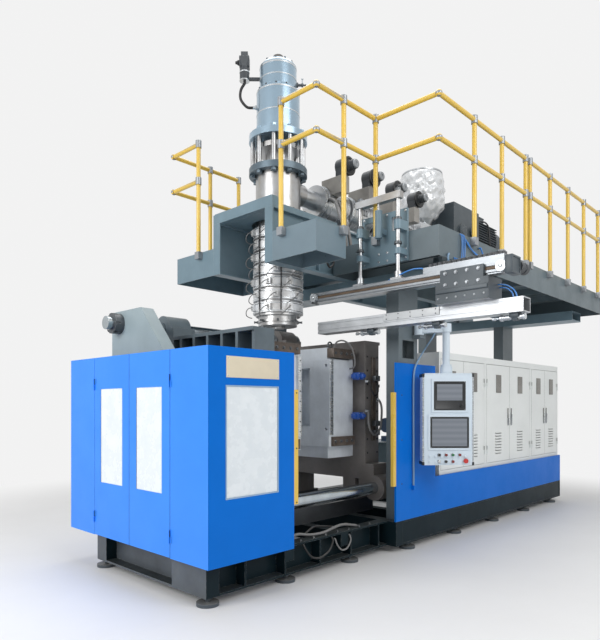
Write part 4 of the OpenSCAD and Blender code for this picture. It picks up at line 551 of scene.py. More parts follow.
def makeEye(name, body, place, lift, major, minor, shank):
    # lifting eye: an upright ring above its shank
    x, y, z = place
    deselect()
    bpy.ops.mesh.primitive_torus_add(major_radius=major / 1000, minor_radius=minor / 1000, major_segments=28,
                                     minor_segments=10, location=at(x, y, z + lift),
                                     rotation=(math.radians(90), 0, 0))
    bpy.ops.object.transform_apply()
    ring = bpy.context.object
    joinPieces([ring, turnPiece(shank, place, sides=20)])
    endPiece(name, body, "darkSteel")


def makeHose(name, body, finish, radius, points, declare=True):
    piece, route = layCord(name, radius, points)
    if declare:
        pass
    else:
        joinPieces([piece])
        bpy.ops.object.convert(target="MESH")
    dress(piece, finish)
    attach(piece, body)


def makeHoses(hoses):
    for name, (body, finish, radius, points) in hoses.items():
        makeHose(name, body, finish, radius, points)


def paintFaces(nodeName, finish, test, largest=1.0):
    # a second finish on some faces of a CAD node, picked by their place and by an area limit
    node = nodes[nodeName]
    node.data.materials.append(finishes[finish])
    index = len(node.data.materials) - 1
    for polygon in node.data.polygons:
        if polygon.area < largest and test(polygon.center, polygon.normal):
            polygon.material_index = index


# ---------------------------------------------------------------- railings
railings = {
    "nodes": ("railing_near", "railing_far", "railing_gallery"),
    "floor": 2850, "heights": (690, 1050), "joint": 37, "tube": 21, "clearance": 2.5, "feet": 2,
    "largestFitting": 0.0003,  # square metres, so that the long faces of the tubes stay yellow
}


def isFitting(centre, normal):
    # the joints are thicker than the tubes, so their faces lie further out than any tube's
    height, tube = centre.z * 1000 - railings["floor"], railings["tube"]
    away = min(abs(height - level) for level in railings["heights"])
    if away > railings["joint"]:
        return False
    return away > tube + railings["clearance"] or abs(normal.z) < 0.35 and away < 2 * tube


def makeRailings():
    for name in railings["nodes"]:
        paintFaces(name, "fittingGrey", isFitting, railings["largestFitting"])
        paintFaces(name, "fittingGrey",
                   lambda centre, normal: centre.z * 1000 < railings["floor"] + railings["feet"])


# ---------------------------------------------------------------- operator panel
panelCase = {
    "middle": (2600, -250, 800), "turn": -46, "front": -75,
    # each screen: two corners of its frame, then the glass's margins at the sides, foot and crown
    "screens": {"upper": ((-136, 510), (160, 780), (30, 92, 26)),
                "lower": ((-169, 160), (191, 450), (17, 17, 17))},
    "buttons": {96: ("buttonBlack", "buttonDarkRed", "buttonGreen", "buttonDarkRed"),
                34: ("buttonWhite", "buttonBlack", "buttonDarkRed")},
    "buttonPitch": 64, "buttonStart": -86, "knob": (122, 556), "rail": 231, "corners": ((-2, 30), (820, 852)),
}


def makePanel():
    # pieces are given across, out from the case's front and up, then turned with the panel
    mx, my, mz = panelCase["middle"]
    front = my + panelCase["front"]
    pivot = Matrix.Translation(at(mx, my, mz))
    turn = pivot @ Matrix.Rotation(math.radians(panelCase["turn"]), 4, "Z") @ pivot.inverted()

    def onPanel(u, v, w):
        return (mx + u, front + v, mz + w)

    def block(name, finish, low, high, side=None, insets=(), **shape):
        makeBlock(name, "panel", finish, onPanel(*low), onPanel(*high), side, insets, turn, **shape)

    def turned(name, finish, profile, places, sides=24):
        makeTurned(name, "panel", finish, profile, [onPanel(*p) for p in places], nearSide, sides, turn)

    for name, ((u0, w0), (u1, w1), (margin, foot, crown)) in panelCase["screens"].items():
        # black frame with the glass sunk into it
        block(name + "ScreenFrame", "bezelBlack", (u0, -8.5, w0), (u1, -3.8, w1), nearSide, ((13,), (4, -2.5)))
        block(name + "ScreenGlass", "screenGlow", (u0 + margin, -7, w0 + foot), (u1 - margin, -5, w1 - crown),
              rounded=0.6, segments=1)
        turned(name + "ScreenScrews", "brightSteel", [(3.6, 0), (3.6, 1.2), (2.2, 2.2)],
               [(u, -8.5, w) for u in (u0 + 7, u1 - 7) for w in (w0 + 7, w1 - 7)], 12)
    across, up = panelCase["knob"]
    turned("screenKnob", "bezelBlack", [(15, 0), (15, 5), (12, 6), (11, 20), (9, 22)], [(across, -5, up)])
    rings, caps = [], {}
    for height, colours in panelCase["buttons"].items():
        for number, colour in enumerate(colours):
            place = (panelCase["buttonStart"] + number * panelCase["buttonPitch"], 0, height)
            rings.append(place)
            caps.setdefault(colour, []).append(place)
    turned("buttonRings", "brightSteel", [(17, -0.5), (17, 3), (14.5, 6), (13.4, 6)], rings)
    for colour, places in caps.items():
        turned("caps" + colour[len("button"):], colour, [(12.6, 11), (12.6, 17), (11, 19.5), (7, 20.4)], places)
    for label, u in (("Left", -panelCase["rail"]), ("Right", panelCase["rail"])):
        # extruded side rail with its groove and dark end caps
        block("panelRail" + label, "brightSteel", (u - 8, 6, 30), (u + 8, 30, 820), nearSide, ((4.5,),),
              push=(0, 9, 0))
        for w0, w1 in panelCase["corners"]:
            block("panelCorner%s%d" % (label, w0), "bezelBlack", (u - 11, -2, w0), (u + 11, 146, w1),
                  rounded=5, segments=3)
    # folded rim along the top and the service door at the back
    block("panelTopRim", "panelGrey", (-219, -3, 848), (219, 60, 856), upSide, ((16, -3),))
    block("panelBackDoor", "panelGrey", (-190, 150, 60), (190, 156, 790), farSide, ((14, 3),),
          rounded=1, segments=1)


makeRailings()
makePanel()
print("railings and panel made")


# ---------------------------------------------------------------- clamp
clamp = {
    "partingX": 1780, "mouldNear": 493, "mouldZ": (1075, 1790), "closedGap": 380, "stripScrews": 8,
    "platenX": (2200, 2440), "platenNear": 400, "couplings": (1256, 1640), "services": (1090, 1180, 1620),
    "glands": ((2216, 400, 1300), (2388, 400, 1410), (2216, 400, 1590), (2334, 400, 1604)),
    "hoses": {
        "mouldHoseLow": ("clamp_draw", "conduitGrey", 11, [
            (2216, 399, 1300), (2216, 384, 1300), (2200, 360, 1270), (2180, 344, 1190), (2200, 334, 1110),
            (2270, 330, 1070), (2350, 330, 1130), (2378, 334, 1240), (2386, 340, 1340), (2388, 366, 1400),
            (2388, 399, 1410)]),
        "mouldHoseHigh": ("clamp_draw", "rubberBlack", 9, [
            (2216, 399, 1590), (2216, 380, 1590), (2216, 352, 1560), (2226, 336, 1490), (2270, 330, 1450),
            (2318, 334, 1490), (2332, 350, 1570), (2334, 378, 1600), (2334, 399, 1604)]),
        "mouldWaterHose": ("clamp_draw", "conduitGrey", 8, [
            (1960, 590, 1901), (1960, 590, 1920), (1966, 560, 1966), (1990, 500, 1975), (2030, 450, 1930),
            (2066, 432, 1840), (2086, 436, 1750), (2094, 470, 1716), (2096, 506, 1712)]),
    },
}


def makeMouldTrim(prefix, body, x0, way):
    # way is the side on which this half of the mould stands, seen from the parting edge
    near, (z0, z1) = clamp["mouldNear"], clamp["mouldZ"]
    left, right = sorted((x0 + way * 3, x0 + way * 46))
    makeBlock(prefix + "PartingStrip", body, "brightSteel", (left, near - 7, z0 + 6), (right, near, z1 - 4),
              nearSide, ((4, 1),))
    count = clamp["stripScrews"]
    step = (z1 - z0 - 90) / (count - 1)
    boltRow(prefix + "StripScrews", body, "bezelBlack",
            [(x0 + way * 24, near - 7, z0 + 50 + i * step) for i in range(count)], nearSide, 6, 4, 12)
    for low, high, label in ((z0 - 100, z0 - 12, "Foot"), (z1 + 14, z1 + 104, "Head")):
        # rusty clamping bars across the mould, with a step and chamfers
        left, right = sorted((x0 + way * 34, x0 + way * 352))
        makeBlock(prefix + label + "Bar", body, "rustBrown", (left, near - 22, low), (right, near + 66, high),
                  nearSide, ((16, -9),), rounded=3)
        boltRow(prefix + label + "BarBolts", body, "darkSteel",
                [(x0 + way * (70 + i * 82), near - 13, (low + high) / 2) for i in range(4)], nearSide, 13, 12)
    for y in (near + 160, near + 820):
        makeEye("%sLiftingEye%d" % (prefix, y), body, (x0 + way * 190, y, z1 + 110), 40, 30, 8,
                [(15, 0), (15, 8), (9, 12), (9, 20)])


def makeClamp():
    makeMouldTrim("right", "clamp_draw", clamp["partingX"], 1)
    makeMouldTrim("left", "clamp_press", clamp["partingX"] - clamp["closedGap"], -1)
    x0, x1 = clamp["platenX"]
    near = clamp["platenNear"]
    for z in clamp["couplings"]:
        # hydraulic mould clamp: body with the nose on the mould's flange, ram cap and bolts
        makeBlock("mouldClamp%d" % z, "clamp_draw", "couplingBlue", (x0 - 96, near + 6, z - 34),
                  (x0, near + 86, z + 34), leftSide, ((14,),), push=(-34, 0, 0), rounded=4)
        makeTurned("mouldClampCap%d" % z, "clamp_draw", "couplingBlue",
                   [(26, 0), (26, 26), (21, 32), (13, 32), (13, 44), (9, 46)], [(x0 - 48, near + 6, z)],
                   nearSide, 24)
        boltRow("mouldClampBolts%d" % z, "clamp_draw", "brightSteel",
                [(x, near + 6, z + lift) for x in (x0 - 82, x0 - 14) for lift in (-24, 24)], nearSide, 5, 5)
    boltRow("platenEdgeScrews", "clamp_draw", "bezelBlack",
            [(x, near, 760 + i * 134) for x in (x0 + 34, x1 - 46) for i in range(9)], nearSide, 9, 6, 12)
    # slotted strip on the near edge and the blocks that carry the services
    makeBlock("serviceRail", "clamp_draw", "rustBrown", (x0 + 100, near - 16, 1010), (x0 + 150, near, 1830),
              nearSide, ((15, -8),), rounded=2)
    for number, z in enumerate(clamp["services"]):
        makeBlock("serviceBlock%d" % number, "clamp_draw", "darkSteel", (x0 + 86, near - 60, z - 26),
                  (x0 + 164, near - 16, z + 26), nearSide, ((12, 6),), rounded=3)
    makeHoses(clamp["hoses"])
    makeTurned("hoseGlands", "clamp_draw", "brightSteel", [(20, 0), (20, 8), (15, 9), (15, 26), (12, 30)],
               clamp["glands"], nearSide, 6)
    # switch block on top of the left platen
    makeBlock("platenTopBlock", "clamp_press", "darkSteel", (1120, 700, 1985), (1200, 800, 2015), upSide,
              ((20,),), push=(0, 0, 40), rounded=4)


makeClamp()
print("clamp dressed")


# ---------------------------------------------------------------- accumulator head
head = {
    "middle": (1590, 983), "bandZ": 2225, "bandPitch": 118, "bandCount": 7, "boxTurns": (160, 205, 250),
    "boxStagger": 16, "cylinderZ": 3932, "shoulderZ": 4352, "domeZ": 4597, "lowerRadius": 208,
    "upperRadius": 178, "valveTurn": 134, "bleedTurn": -44, "supportZ": 3165, "dieZ": 2155,
    "conduits": (181, 232), "conduitZ": 2240, "conduitStops": (0, 120, 300, 480, 660, 830),
    # degrees back, radius and height above the band
    "leadRoute": ((0, 276, 48), (2, 300, 44), (8, 314, 18), (14, 306, -14), (18, 276, -30), (19, 250, -34)),
    # degrees on, out from the valve and down from the dome
    "valveRoute": ((0, 0, 119), (0, 0, 140), (2, 34, 210), (3, 36, 300), (2, -20, 370), (0, -74, 374),
                   (0, -114, 372)),
    # limits of the painted faces, in metres
    "valveReach": 0.185, "valveFoot": 4.46, "valveHead": 4.64, "capReach": 0.062, "capZ": 4.66, "flangeZ": 3.52,
}


def headPoint(turn, radius, z):
    a = math.radians(turn)
    return (head["middle"][0] + radius * math.cos(a), head["middle"][1] + radius * math.sin(a), z)


def outwards(turn):
    return (math.cos(math.radians(turn)), math.sin(math.radians(turn)), 0)


def turnOut(name, finish, profile, spots, sides):
    # turned parts that point away from the head's axis, each spot a turn, a radius and a height
    joinPieces([turnPiece(profile, headPoint(*spot), outwards(spot[0]), sides) for spot in spots])
    endPiece(name, "base", finish)


def makeBands():
    mx, my = head["middle"]
    boxes, heights = [], []
    for band in range(head["bandCount"]):
        heights.append(head["bandZ"] + band * head["bandPitch"])
        boxes += [(turn + (band % 2) * head["boxStagger"], heights[-1]) for turn in head["boxTurns"]]
    makeTurned("bandStraps", "base", "brightSteel", [(240.4, 0), (243, 1.5), (243, 8.5), (240.4, 10)],
               [(mx, my, z + lift) for z in heights for lift in (8, 78)], sides=64)
    turnOut("bandTerminals", "buttonWhite", [(9, 0), (9, 5), (6, 6), (6, 13), (4, 14)],
            [(turn, 268, z + lift) for turn, z in boxes for lift in (36, 60)], 12)
    # braided leads from the terminals back under the next strap
    leads = []
    for turn, z in boxes:
        points = [headPoint(turn - back, radius, z + lift) for back, radius, lift in head["leadRoute"]]
        leads.append(layCord("lead", 4.2, points)[0])
    joinPieces(leads)
    bpy.ops.object.convert(target="MESH")
    endPiece("bandLeads", "base", "conduitGrey")
    stops = head["conduitStops"]
    for number, turn in enumerate(head["conduits"]):
        points = [headPoint(turn, 244 if lift in (stops[0], stops[-1]) else 250, head["conduitZ"] + lift)
                  for lift in stops]
        makeHose("bandConduit%d" % number, "base", "rubberBlack", 6, points, declare=False)


def makeCylinder():
    # seams, bolts and bleed valve of the push cylinder
    mx, my = head["middle"]
    top, dome, lower, upper = (head[key] for key in ("shoulderZ", "domeZ", "lowerRadius", "upperRadius"))
    joinPieces([turnPiece([(r - 2, 0), (r + 1.6, 1.6), (r + 1.6, h - 1.6), (r - 2, h)], (mx, my, z), sides=96)
                for r, h, z in ((lower, 12, head["cylinderZ"] + 190), (lower, 16, top - 22),
                                (upper, 12, top + 110), (upper, 18, dome - 26))])
    endPiece("cylinderSeams", "base", "brightSteel")
    for name, radius, z, first, step, size, height in (
            ("supportRingBolts", 286, head["supportZ"], 15, 30, 13, 16),
            ("domeBolts", 143, dome + 34, 0, 36, 10, 13), ("shoulderBolts", 193, top + 14, 10, 30, 7, 11)):
        places = [headPoint(turn, radius, z) for turn in range(first, first + 360, step)]
        boltRow(name, "base", "darkSteel", places, upSide, size, height)
    turn = head["bleedTurn"]
    turnPiece([(24, -3), (24, 14), (13, 16), (13, 46), (20, 48), (20, 64), (9, 66), (9, 84), (12, 85),
               (12, 92)], headPoint(turn, upper, dome - 150), outwards(turn), 24)
    bpy.ops.object.mode_set(mode="EDIT")
    pickFacing(upSide)
    insetPicked(1.5)
    endPiece("bleedValve", "base", "darkSteel")
    makeTurned("bleedLever", "base", "brightSteel", [(6, 0), (6, 34), (11, 36), (11, 44)],
               [headPoint(turn, upper + 56, dome - 132)], sides=16)


def makeServoValve():
    # collars, plug and the looped hose back to the cylinder
    turn, dome = head["valveTurn"], head["domeZ"]
    out = head["upperRadius"] + 146
    joinPieces([turnPiece([(49, 0), (49, 8), (44, 10)], headPoint(turn, out, dome - 120), sides=40),
                turnPiece([(48, 0), (50, 2), (50, 12), (46, 14)], headPoint(turn, out, dome - 44), sides=40)])
    endPiece("valveCollars", "base", "brightSteel")
    turnOut("valvePlug", "rubberBlack", [(20, 0), (20, 10), (24, 12), (24, 34), (16, 40), (12, 58)],
            [(turn, out + 30, dome + 60)], 20)
    makeHose("valveHose", "base", "rubberBlack", 13,
             [headPoint(turn + on, out + further, dome - drop) for on, further, drop in head["valveRoute"]])
    turnOut("valveHoseNut", "brightSteel", [(24, 0), (24, 10), (18, 12), (18, 34)],
            [(turn, head["lowerRadius"], dome - 372)], 6)


def paintHead():
    hub = at(*head["middle"], 0).xy

    def isValve(centre):
        return (centre.xy - hub).length > head["valveReach"]

    paintFaces("push_cylinder", "blowerGrey",
               lambda centre, normal: isValve(centre) and head["valveFoot"] < centre.z < head["valveHead"])
    paintFaces("push_cylinder", "darkSteel",
               lambda centre, normal: isValve(centre) and centre.z > head["valveHead"])
    paintFaces("push_cylinder", "clampBrown",
               lambda centre, normal: (centre.xy - hub).length < head["capReach"] and centre.z > head["capZ"])
    paintFaces("head_barrel", "flangeBlue",
               lambda centre, normal: isValve(centre) and centre.z > head["flangeZ"])


makeBands()
turnOut("dieBolts", "darkSteel", [(13, 0), (13, 6), (9, 7), (9, 28), (12, 29), (12, 36)],
        [(turn, 196, head["dieZ"]) for turn in range(0, 360, 45)], 6)
makeCylinder()
makeServoValve()
paintHead()
print("head dressed")


# ---------------------------------------------------------------- extruder
extruder = {
    "middleY": 983, "screwZ": 3450, "zoneStarts": (2100, 2540, 2980, 3420), "blowerX": 200, "blowerZ": 3790,
    "blowerFront": 683, "shroudStraps": (18, 118, 272, 372), "slots": (150, 190, 230),
    "ductTop": 3.695,  # metres
    "gearX": (4490, 5180), "gearNear": 703, "gearTop": 3995,
    "gearCovers": ((92, 78, 210, 200), (72, 60, 490, 240)),  # radius, bolt circle, along and up
    "motorX": (5250, 6030), "motorZ": 3760, "grilleRings": (200, 160, 120, 80, 40), "hopper": (4170, 983, 3620),
    "hoses": {
        "motorCable": ("base", "rubberBlack", 11, [
            (5550, 872, 4000), (5550, 850, 4000), (5550, 796, 3986), (5549, 746, 3920), (5547, 728, 3800),
            (5542, 712, 3560), (5534, 690, 3290), (5529, 650, 3150), (5528, 622, 3090), (5528, 620, 3076)]),
    },
    "barrelHose": ((2150, 816, 3440), (2150, 790, 3440), (2136, 720, 3390), (2096, 640, 3250),
                   (2050, 550, 3090), (2026, 500, 2950), (2020, 490, 2880), (2020, 489, 2851)),
    "barrelHosePitch": 66,
}


def makeBlowers():
    my, sz, starts = extruder["middleY"], extruder["screwZ"], extruder["zoneStarts"]
    for name, finish, out, sides, profile in (
            ("blowerGuards", "bezelBlack", -4, 48,
             [(92, 0), (96, 2), (96, 16), (90, 20), (72, 20), (68, 14), (58, 14)]),
            ("blowerMotors", "blowerGrey", 16, 40,
             [(48, 0), (51, 2), (51, 10), (48, 12), (48, 24), (51, 26), (51, 34), (48, 36), (48, 46), (51, 48),
              (51, 56), (44, 62)]),
            ("blowerCaps", "fittingGrey", 88, 40, [(46, 0), (47, 6), (40, 15), (16, 15), (13, 9), (5, 9)])):
        places = [(start + extruder["blowerX"], extruder["blowerFront"] - out, extruder["blowerZ"])
                  for start in starts]
        makeTurned(name, "base", finish, profile, places, nearSide, sides)
    makeTurned("shroudStraps", "base", "brightSteel", [(165.3, 0), (168, 1.5), (168, 12.5), (165.3, 14)],
               [(start + shift, my, sz) for start in starts for shift in extruder["shroudStraps"]],
               rightSide, 64)
    # air slots in the near side of each shroud
    lefts = [start + shift for start in starts for shift in extruder["slots"]]
    joinPieces([shapeBlock((x, my - 168, sz - 36), (x + 22, my - 150, sz + 30), nearSide, ((4,), (2, -9)))
                for x in lefts])
    endPiece("shroudSlots", "base", "darkSteel")
    paintFaces("barrel_blowers", "ductGrey", lambda centre, normal: centre.z < extruder["ductTop"])


def makeGearbox():
    # bolted side covers, sight glass, breather and lifting eyes
    my, sz = extruder["middleY"], extruder["screwZ"]
    x0, x1 = extruder["gearX"]
    near, top = extruder["gearNear"], extruder["gearTop"]
    joinPieces([turnPiece([(r, 0), (r, 10), (r - 6, 14), (r * 0.55, 14), (r * 0.5, 20), (r * 0.3, 20)],
                          (x0 + along, near - 16, sz + up), nearSide, 48)
                for r, circle, along, up in extruder["gearCovers"]])
    endPiece("gearCovers", "base", "gearGrey")
    places = [(x0 + along + circle * math.cos(a), near - 27, sz + up + circle * math.sin(a))
              for r, circle, along, up in extruder["gearCovers"] for a in [i * math.pi / 4 for i in range(8)]]
    boltRow("gearCoverBolts", "base", "darkSteel", places, nearSide, 6, 8)
    boltRow("gearFlangeBolts", "base", "darkSteel", [(x0 + 30 + i * 70, near - 17, sz + 20) for i in range(10)],
            upSide, 8, 14)
    makeTurned("oilSightGlass", "base", "brightSteel", [(22, 0), (22, 8), (16, 10), (16, 4)],
               [(x0 + 350, near, sz + 60)], nearSide, 24)
    for number, x in enumerate((x0 + 110, x1 - 110)):
        makeEye("gearLiftingEye%d" % number, "base", (x, my, top), 44, 34, 10,
                [(24, 0), (24, 6), (12, 8), (12, 14)])
    makeTurned("gearBreather", "base", "brightSteel", [(18, 0), (18, 20), (26, 22), (26, 46), (20, 52)],
               [(x0 + 350, my - 60, top + 24)], sides=24)


def makeMotor():
    # cowl grille, terminal box lid and its gland
    my, mz, (x0, x1) = extruder["middleY"], extruder["motorZ"], extruder["motorX"]
    joinPieces([turnPiece([(r, 0), (r, 7), (r - 5, 8), (r - 5, 0.5)], (x1, my, mz), rightSide, 64)
                for r in extruder["grilleRings"]])
    endPiece("cowlGrille", "base", "gearGrey")
    makeBlock("terminalLid", "base", "gearGrey", (x0 + 176, my - 116, mz + 302), (x0 + 424, my + 116, mz + 318),
              upSide, ((18, 5),), rounded=2)
    makeTurned("terminalGland", "base", "bezelBlack", [(22, 0), (22, 12), (17, 14), (17, 34), (12, 42)],
               [(x0 + 300, my - 110, mz + 240)], nearSide, 6)


def makeHopper():
    # lid knob and slide gate
    x, y, z = extruder["hopper"]
    makeTurned("hopperKnob", "base", "bezelBlack",
               [(26, 0), (26, 6), (12, 8), (12, 26), (24, 30), (24, 44), (16, 50)], [(x, y, z + 724)], sides=24)
    makeBlock("hopperGate", "base", "brightSteel", (x - 150, y - 118, z + 16), (x + 130, y + 118, z + 34),
              leftSide, ((6,),), push=(-70, 0, 0), rounded=2)
    boltRow("hopperBolts", "base", "darkSteel",
            [(x + along, y + across, z + 34) for along in (-110, 110) for across in (-100, 100)], upSide, 9, 12)


makeBlowers()
makeGearbox()
makeMotor()
makeHopper()
makeHoses(extruder["hoses"])
for number in range(2):
    shift = number * extruder["barrelHosePitch"]
    makeHose("barrelHose%d" % number, "base", "conduitGrey", 17,
             [(x + shift, y, z) for x, y, z in extruder["barrelHose"]])
print("extruder dressed")


# ---------------------------------------------------------------- hopper film
film = {
    "middle": (4170, 983), "radius": 250, "gap": 6, "z": (3724, 4296), "coneZ": (3636, 3880), "coneRadius": 95,
    "puff": 34, "rows": 30, "around": 128, "wall": 1,
}


def makeFilm():
    # stretch film wound round the hopper: a tube, gathered and crumpled
    cx, cy = film["middle"]
    z0, z1 = film["z"]
    coneLow, coneHigh = film["coneZ"]
    deselect()
    bpy.ops.mesh.primitive_cylinder_add(
        vertices=film["around"], radius=(film["radius"] + film["gap"]) / 1000, depth=(z1 - z0) / 1000,
        end_fill_type="NOTHING", location=at(cx, cy, (z0 + z1) / 2))
    bpy.ops.object.transform_apply()
    bpy.ops.object.mode_set(mode="EDIT")
    pickEdges(lambda edge: abs(edge.verts[0].co.z - edge.verts[1].co.z) > 0.01)
    bpy.ops.mesh.subdivide_edgering(number_cuts=film["rows"])
    bpy.ops.object.mode_set(mode="OBJECT")
    piece = bpy.context.object
    axis = at(cx, cy, 0)
    for vertex in piece.data.vertices:
        out = Vector((vertex.co.x - axis.x, vertex.co.y - axis.y, 0)).normalized()
        turn = math.atan2(out.y, out.x)
        z = vertex.co.z * 1000
        height = (z - z0) / (z1 - z0)
        taper = min(1.0, (z - coneLow) / (coneHigh - coneLow))
        radius = film["coneRadius"] + (film["radius"] - film["coneRadius"]) * taper
        belly = math.sin(math.pi * height) ** 0.5 if 0 < height < 1 else 0
        folds = (abs(math.sin(4 * turn + 9 * height)) + 0.7 * abs(math.sin(7 * turn - 13 * height + 1.3))
                 - 0.6 * abs(math.sin(11 * turn + 17 * height)) + 0.4 * math.sin(3 * turn - 31 * height))
        puffed = film["puff"] * belly * max(0.0, 0.3 + 0.5 * folds)
        vertex.co = axis + out * (radius + film["gap"] + puffed) / 1000
        vertex.co.z = z / 1000
    piece.modifiers.new("wall", "SOLIDIFY").thickness = film["wall"] / 1000
    bpy.ops.object.modifier_apply(modifier="wall")
    endPiece("hopperFilm", "base", "wrapFilm", angle=60)
    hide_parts("hopper_wrap")


makeFilm()
print("film wound")


# ---------------------------------------------------------------- take-out unit
takeOut = {
    "beamX": (1780, 1860), "beamY": (-1200, 700), "beamZ": (2330, 2420), "carriageX": 1740.3,
    "carriageY": -1040, "armX": (1836, 1966), "grippers": (-1290, -640, 20), "rods": (-235, 165), "rodX": 1820,
    "boxFoot": 2.152,  # metres
    "hoses": {
        "gripperHose": ("carriage", "hoseBlue", 5, [
            (1900, -1080, 2270), (1900, -1100, 2270), (1898, -1150, 2256), (1894, -1200, 2222),
            (1892, -1226, 2180), (1892, -1230, 2151)]),
        "gripperHoseSecond": ("carriage", "hoseBlue", 5, [
            (1926, -1080, 2250), (1926, -1098, 2250), (1926, -1136, 2240), (1924, -1176, 2206),
            (1922, -1190, 2170), (1922, -1192, 2151)]),
        "beamHose": ("lift", "hoseBlue", 6, [
            (1820, -480, 2471), (1820, -460, 2480), (1812, -380, 2484), (1806, -280, 2462), (1800, -200, 2436),
            (1800, -170, 2428), (1800, -150, 2421)]),
        "walkwayLoop": ("base", "rubberBlack", 9, [
            (1501, 330, 2800), (1520, 330, 2800), (1580, 322, 2776), (1626, 314, 2700), (1612, 306, 2610),
            (1560, 300, 2570), (1520, 296, 2600), (1501, 294, 2660)]),
    },
}


def makeBeam():
    x0, x1 = takeOut["beamX"]
    y0, y1 = takeOut["beamY"]
    z0, z1 = takeOut["beamZ"]
    # toothed belt between the guide rails, round a pulley at each end
    makeBlock("driveBelt", "lift", "beltBrown", (x0 - 6, y0 + 4, z0 + 34), (x0, y1 - 4, z0 + 56), leftSide,
              ((4, 1.5),))
    makeTurned("beltPulleys", "lift", "brightSteel",
               [(40, 0), (40, 4), (34, 5), (34, 20), (40, 21), (40, 26), (14, 27), (14, 36), (9, 38)],
               [(x0 - 10, y, z0 + 45) for y in (y0 + 30, y1 - 30)], leftSide, 40)
    makeBlock("beamEndHousing", "lift", "gearGrey", (x0 - 60, y0 - 70, z0 - 22), (x1 + 6, y0 - 12, z1 + 20),
              nearSide, ((14,),), push=(0, 9, 0), rounded=3)
    makeTurned("beltMotor", "lift", "blowerGrey",
               [(44, 0), (44, 60), (38, 66), (38, 84), (44, 86), (44, 130), (30, 138)],
               [(x1 + 6, y0 - 41, z0 + 45)], rightSide, 36)
    boltRow("beamBolts", "lift", "darkSteel", [(x0 + 40, y0 + 760 + i * 116, z1) for i in range(9)],
            upSide, 8, 8)
    # links of the energy chain in its tray
    link = shapeBlock((x0 + 10, y0 + 26, z1 + 50), (x1 - 10, y0 + 62, z1 + 74), upSide, ((6, -4),))
    pickFaces(lambda normal: abs(normal.x) > 0.9)
    insetPicked(4, -2)
    repeatPiece(link, 15, (0, 42, 0))
    endPiece("energyChain", "lift", "blowerGrey")


def makeCarriage():
    # bolt rows, strip on the box, cover plate and grippers on the lower beam
    cx, cy = takeOut["carriageX"], takeOut["carriageY"]
    a0, a1 = takeOut["armX"]
    for row, z in enumerate((2292, 2382)):
        boltRow("carriageBolts%d" % row, "carriage", "fittingGrey",
                [(cx, cy + 40 + i * 92, z) for i in range(4)], leftSide, 12, 12, 16)
    boltRow("carriageBoxBolts", "carriage", "fittingGrey", [(cx, cy - 4 + i * 76, 2192) for i in range(6)],
            leftSide, 7, 6)
    makeBlock("carriageStrip", "carriage", "gearGrey", (cx - 10, cy - 36, 2228), (cx, cy + 396, 2262), leftSide,
              ((5, 2),), rounded=1.5)
    makeBlock("armCoverPlate", "carriage", "plateWhite", (a0 - 7, cy + 420, 2086), (a0, cy + 960, 2150),
              leftSide, ((6, 1.5),))
    boltRow("armPlateScrews", "carriage", "darkSteel",
            [(a0 - 8.5, cy + 450 + i * 120, z) for i in range(5) for z in (2100, 2136)], leftSide, 5, 4)
    middle = (a0 + a1) / 2
    for number, y in enumerate(takeOut["grippers"]):
        # gripper cylinder under the beam with its rod eye
        makeTurned("gripperCylinder%d" % number, "carriage", "brightSteel",
                   [(24, 0), (24, 18), (19, 20), (19, 170), (24, 172), (24, 190), (9, 192), (9, 228), (14, 230),
                    (14, 252)], [(middle, y, 2012)], farSide, 28)
        makeBlock("gripperBracket%d" % number, "carriage", "gearGrey", (middle - 34, y + 40, 2008),
                  (middle + 34, y + 110, 2040), downSide, ((12,),), push=(0, 0, -22), rounded=3)
    paintFaces("take_out_carriage", "gearGrey", lambda centre, normal: centre.z > takeOut["boxFoot"])


def makeLift():
    # collars and nuts of the rods, bolts of the guide plate
    for number, y in enumerate(takeOut["rods"]):
        makeTurned("rodWipers%d" % number, "base", "darkSteel", [(36, 0), (36, 6), (30, 8), (30, 22), (26, 24)],
                   [(takeOut["rodX"], y, z) for z in (2930, 2725)])
        makeTurned("liftRodNut%d" % number, "lift", "darkSteel", [(30, 0), (30, 18), (24, 22), (24, 30)],
                   [(takeOut["rodX"], y, 3170)], sides=6)
    boltRow("guidePlateBolts", "base", "brightSteel",
            [(1912, y, z) for y in (-250, -60, 30, 190) for z in (2630, 2700, 3030)], leftSide, 9, 8)


gallery = {
    "face": -560,
    # air hoses down the near side: their places, then along, out and height
    "hoses": (2285, 2312, 2338),
    "hoseRoute": ((0, 0, 2838), (0, 9, 2838), (6, 16, 2800), (2, 18, 2680), (-22, 18, 2580), (-48, 17, 2522),
                  (-82, 16, 2520), (-104, 13, 2560), (-110, 9, 2612), (-110, 0, 2614)),
    # hoses along it: their starts, then along, out and up from the start
    "runs": ((2372, 2806), (2410, 2790)),
    "runRoute": ((0, 0, 0), (0, 10, 0), (60, 14, -50), (220, 15, -96), (420, 15, -112), (600, 14, -104),
                 (660, 10, -90), (660, 0, -90)),
    # pale loop under the edge: along, out and height
    "loop": ((3000, 0, 2640), (3000, 12, 2640), (2940, 20, 2618), (2700, 22, 2600), (2447, 24, 2580),
             (2250, 26, 2560), (2100, 26, 2548), (2046, 26, 2560), (2040, 22, 2600), (2070, 14, 2628),
             (2076, 12, 2630), (2080, 0, 2630)),
}


def makeGalleryHoses():
    face = gallery["face"]
    for number, x in enumerate(gallery["hoses"]):
        makeHose("galleryHose%d" % number, "base", "hoseBlue", 5,
                 [(x + along, face - out, z) for along, out, z in gallery["hoseRoute"]])
    for number, (x, z) in enumerate(gallery["runs"]):
        makeHose("galleryRun%d" % number, "base", "hoseBlue", 6,
                 [(x + along, face - out, z + up) for along, out, up in gallery["runRoute"]])
    makeHose("galleryLoop", "base", "cableBlue", 8, [(x, face - out, z) for x, out, z in gallery["loop"]])


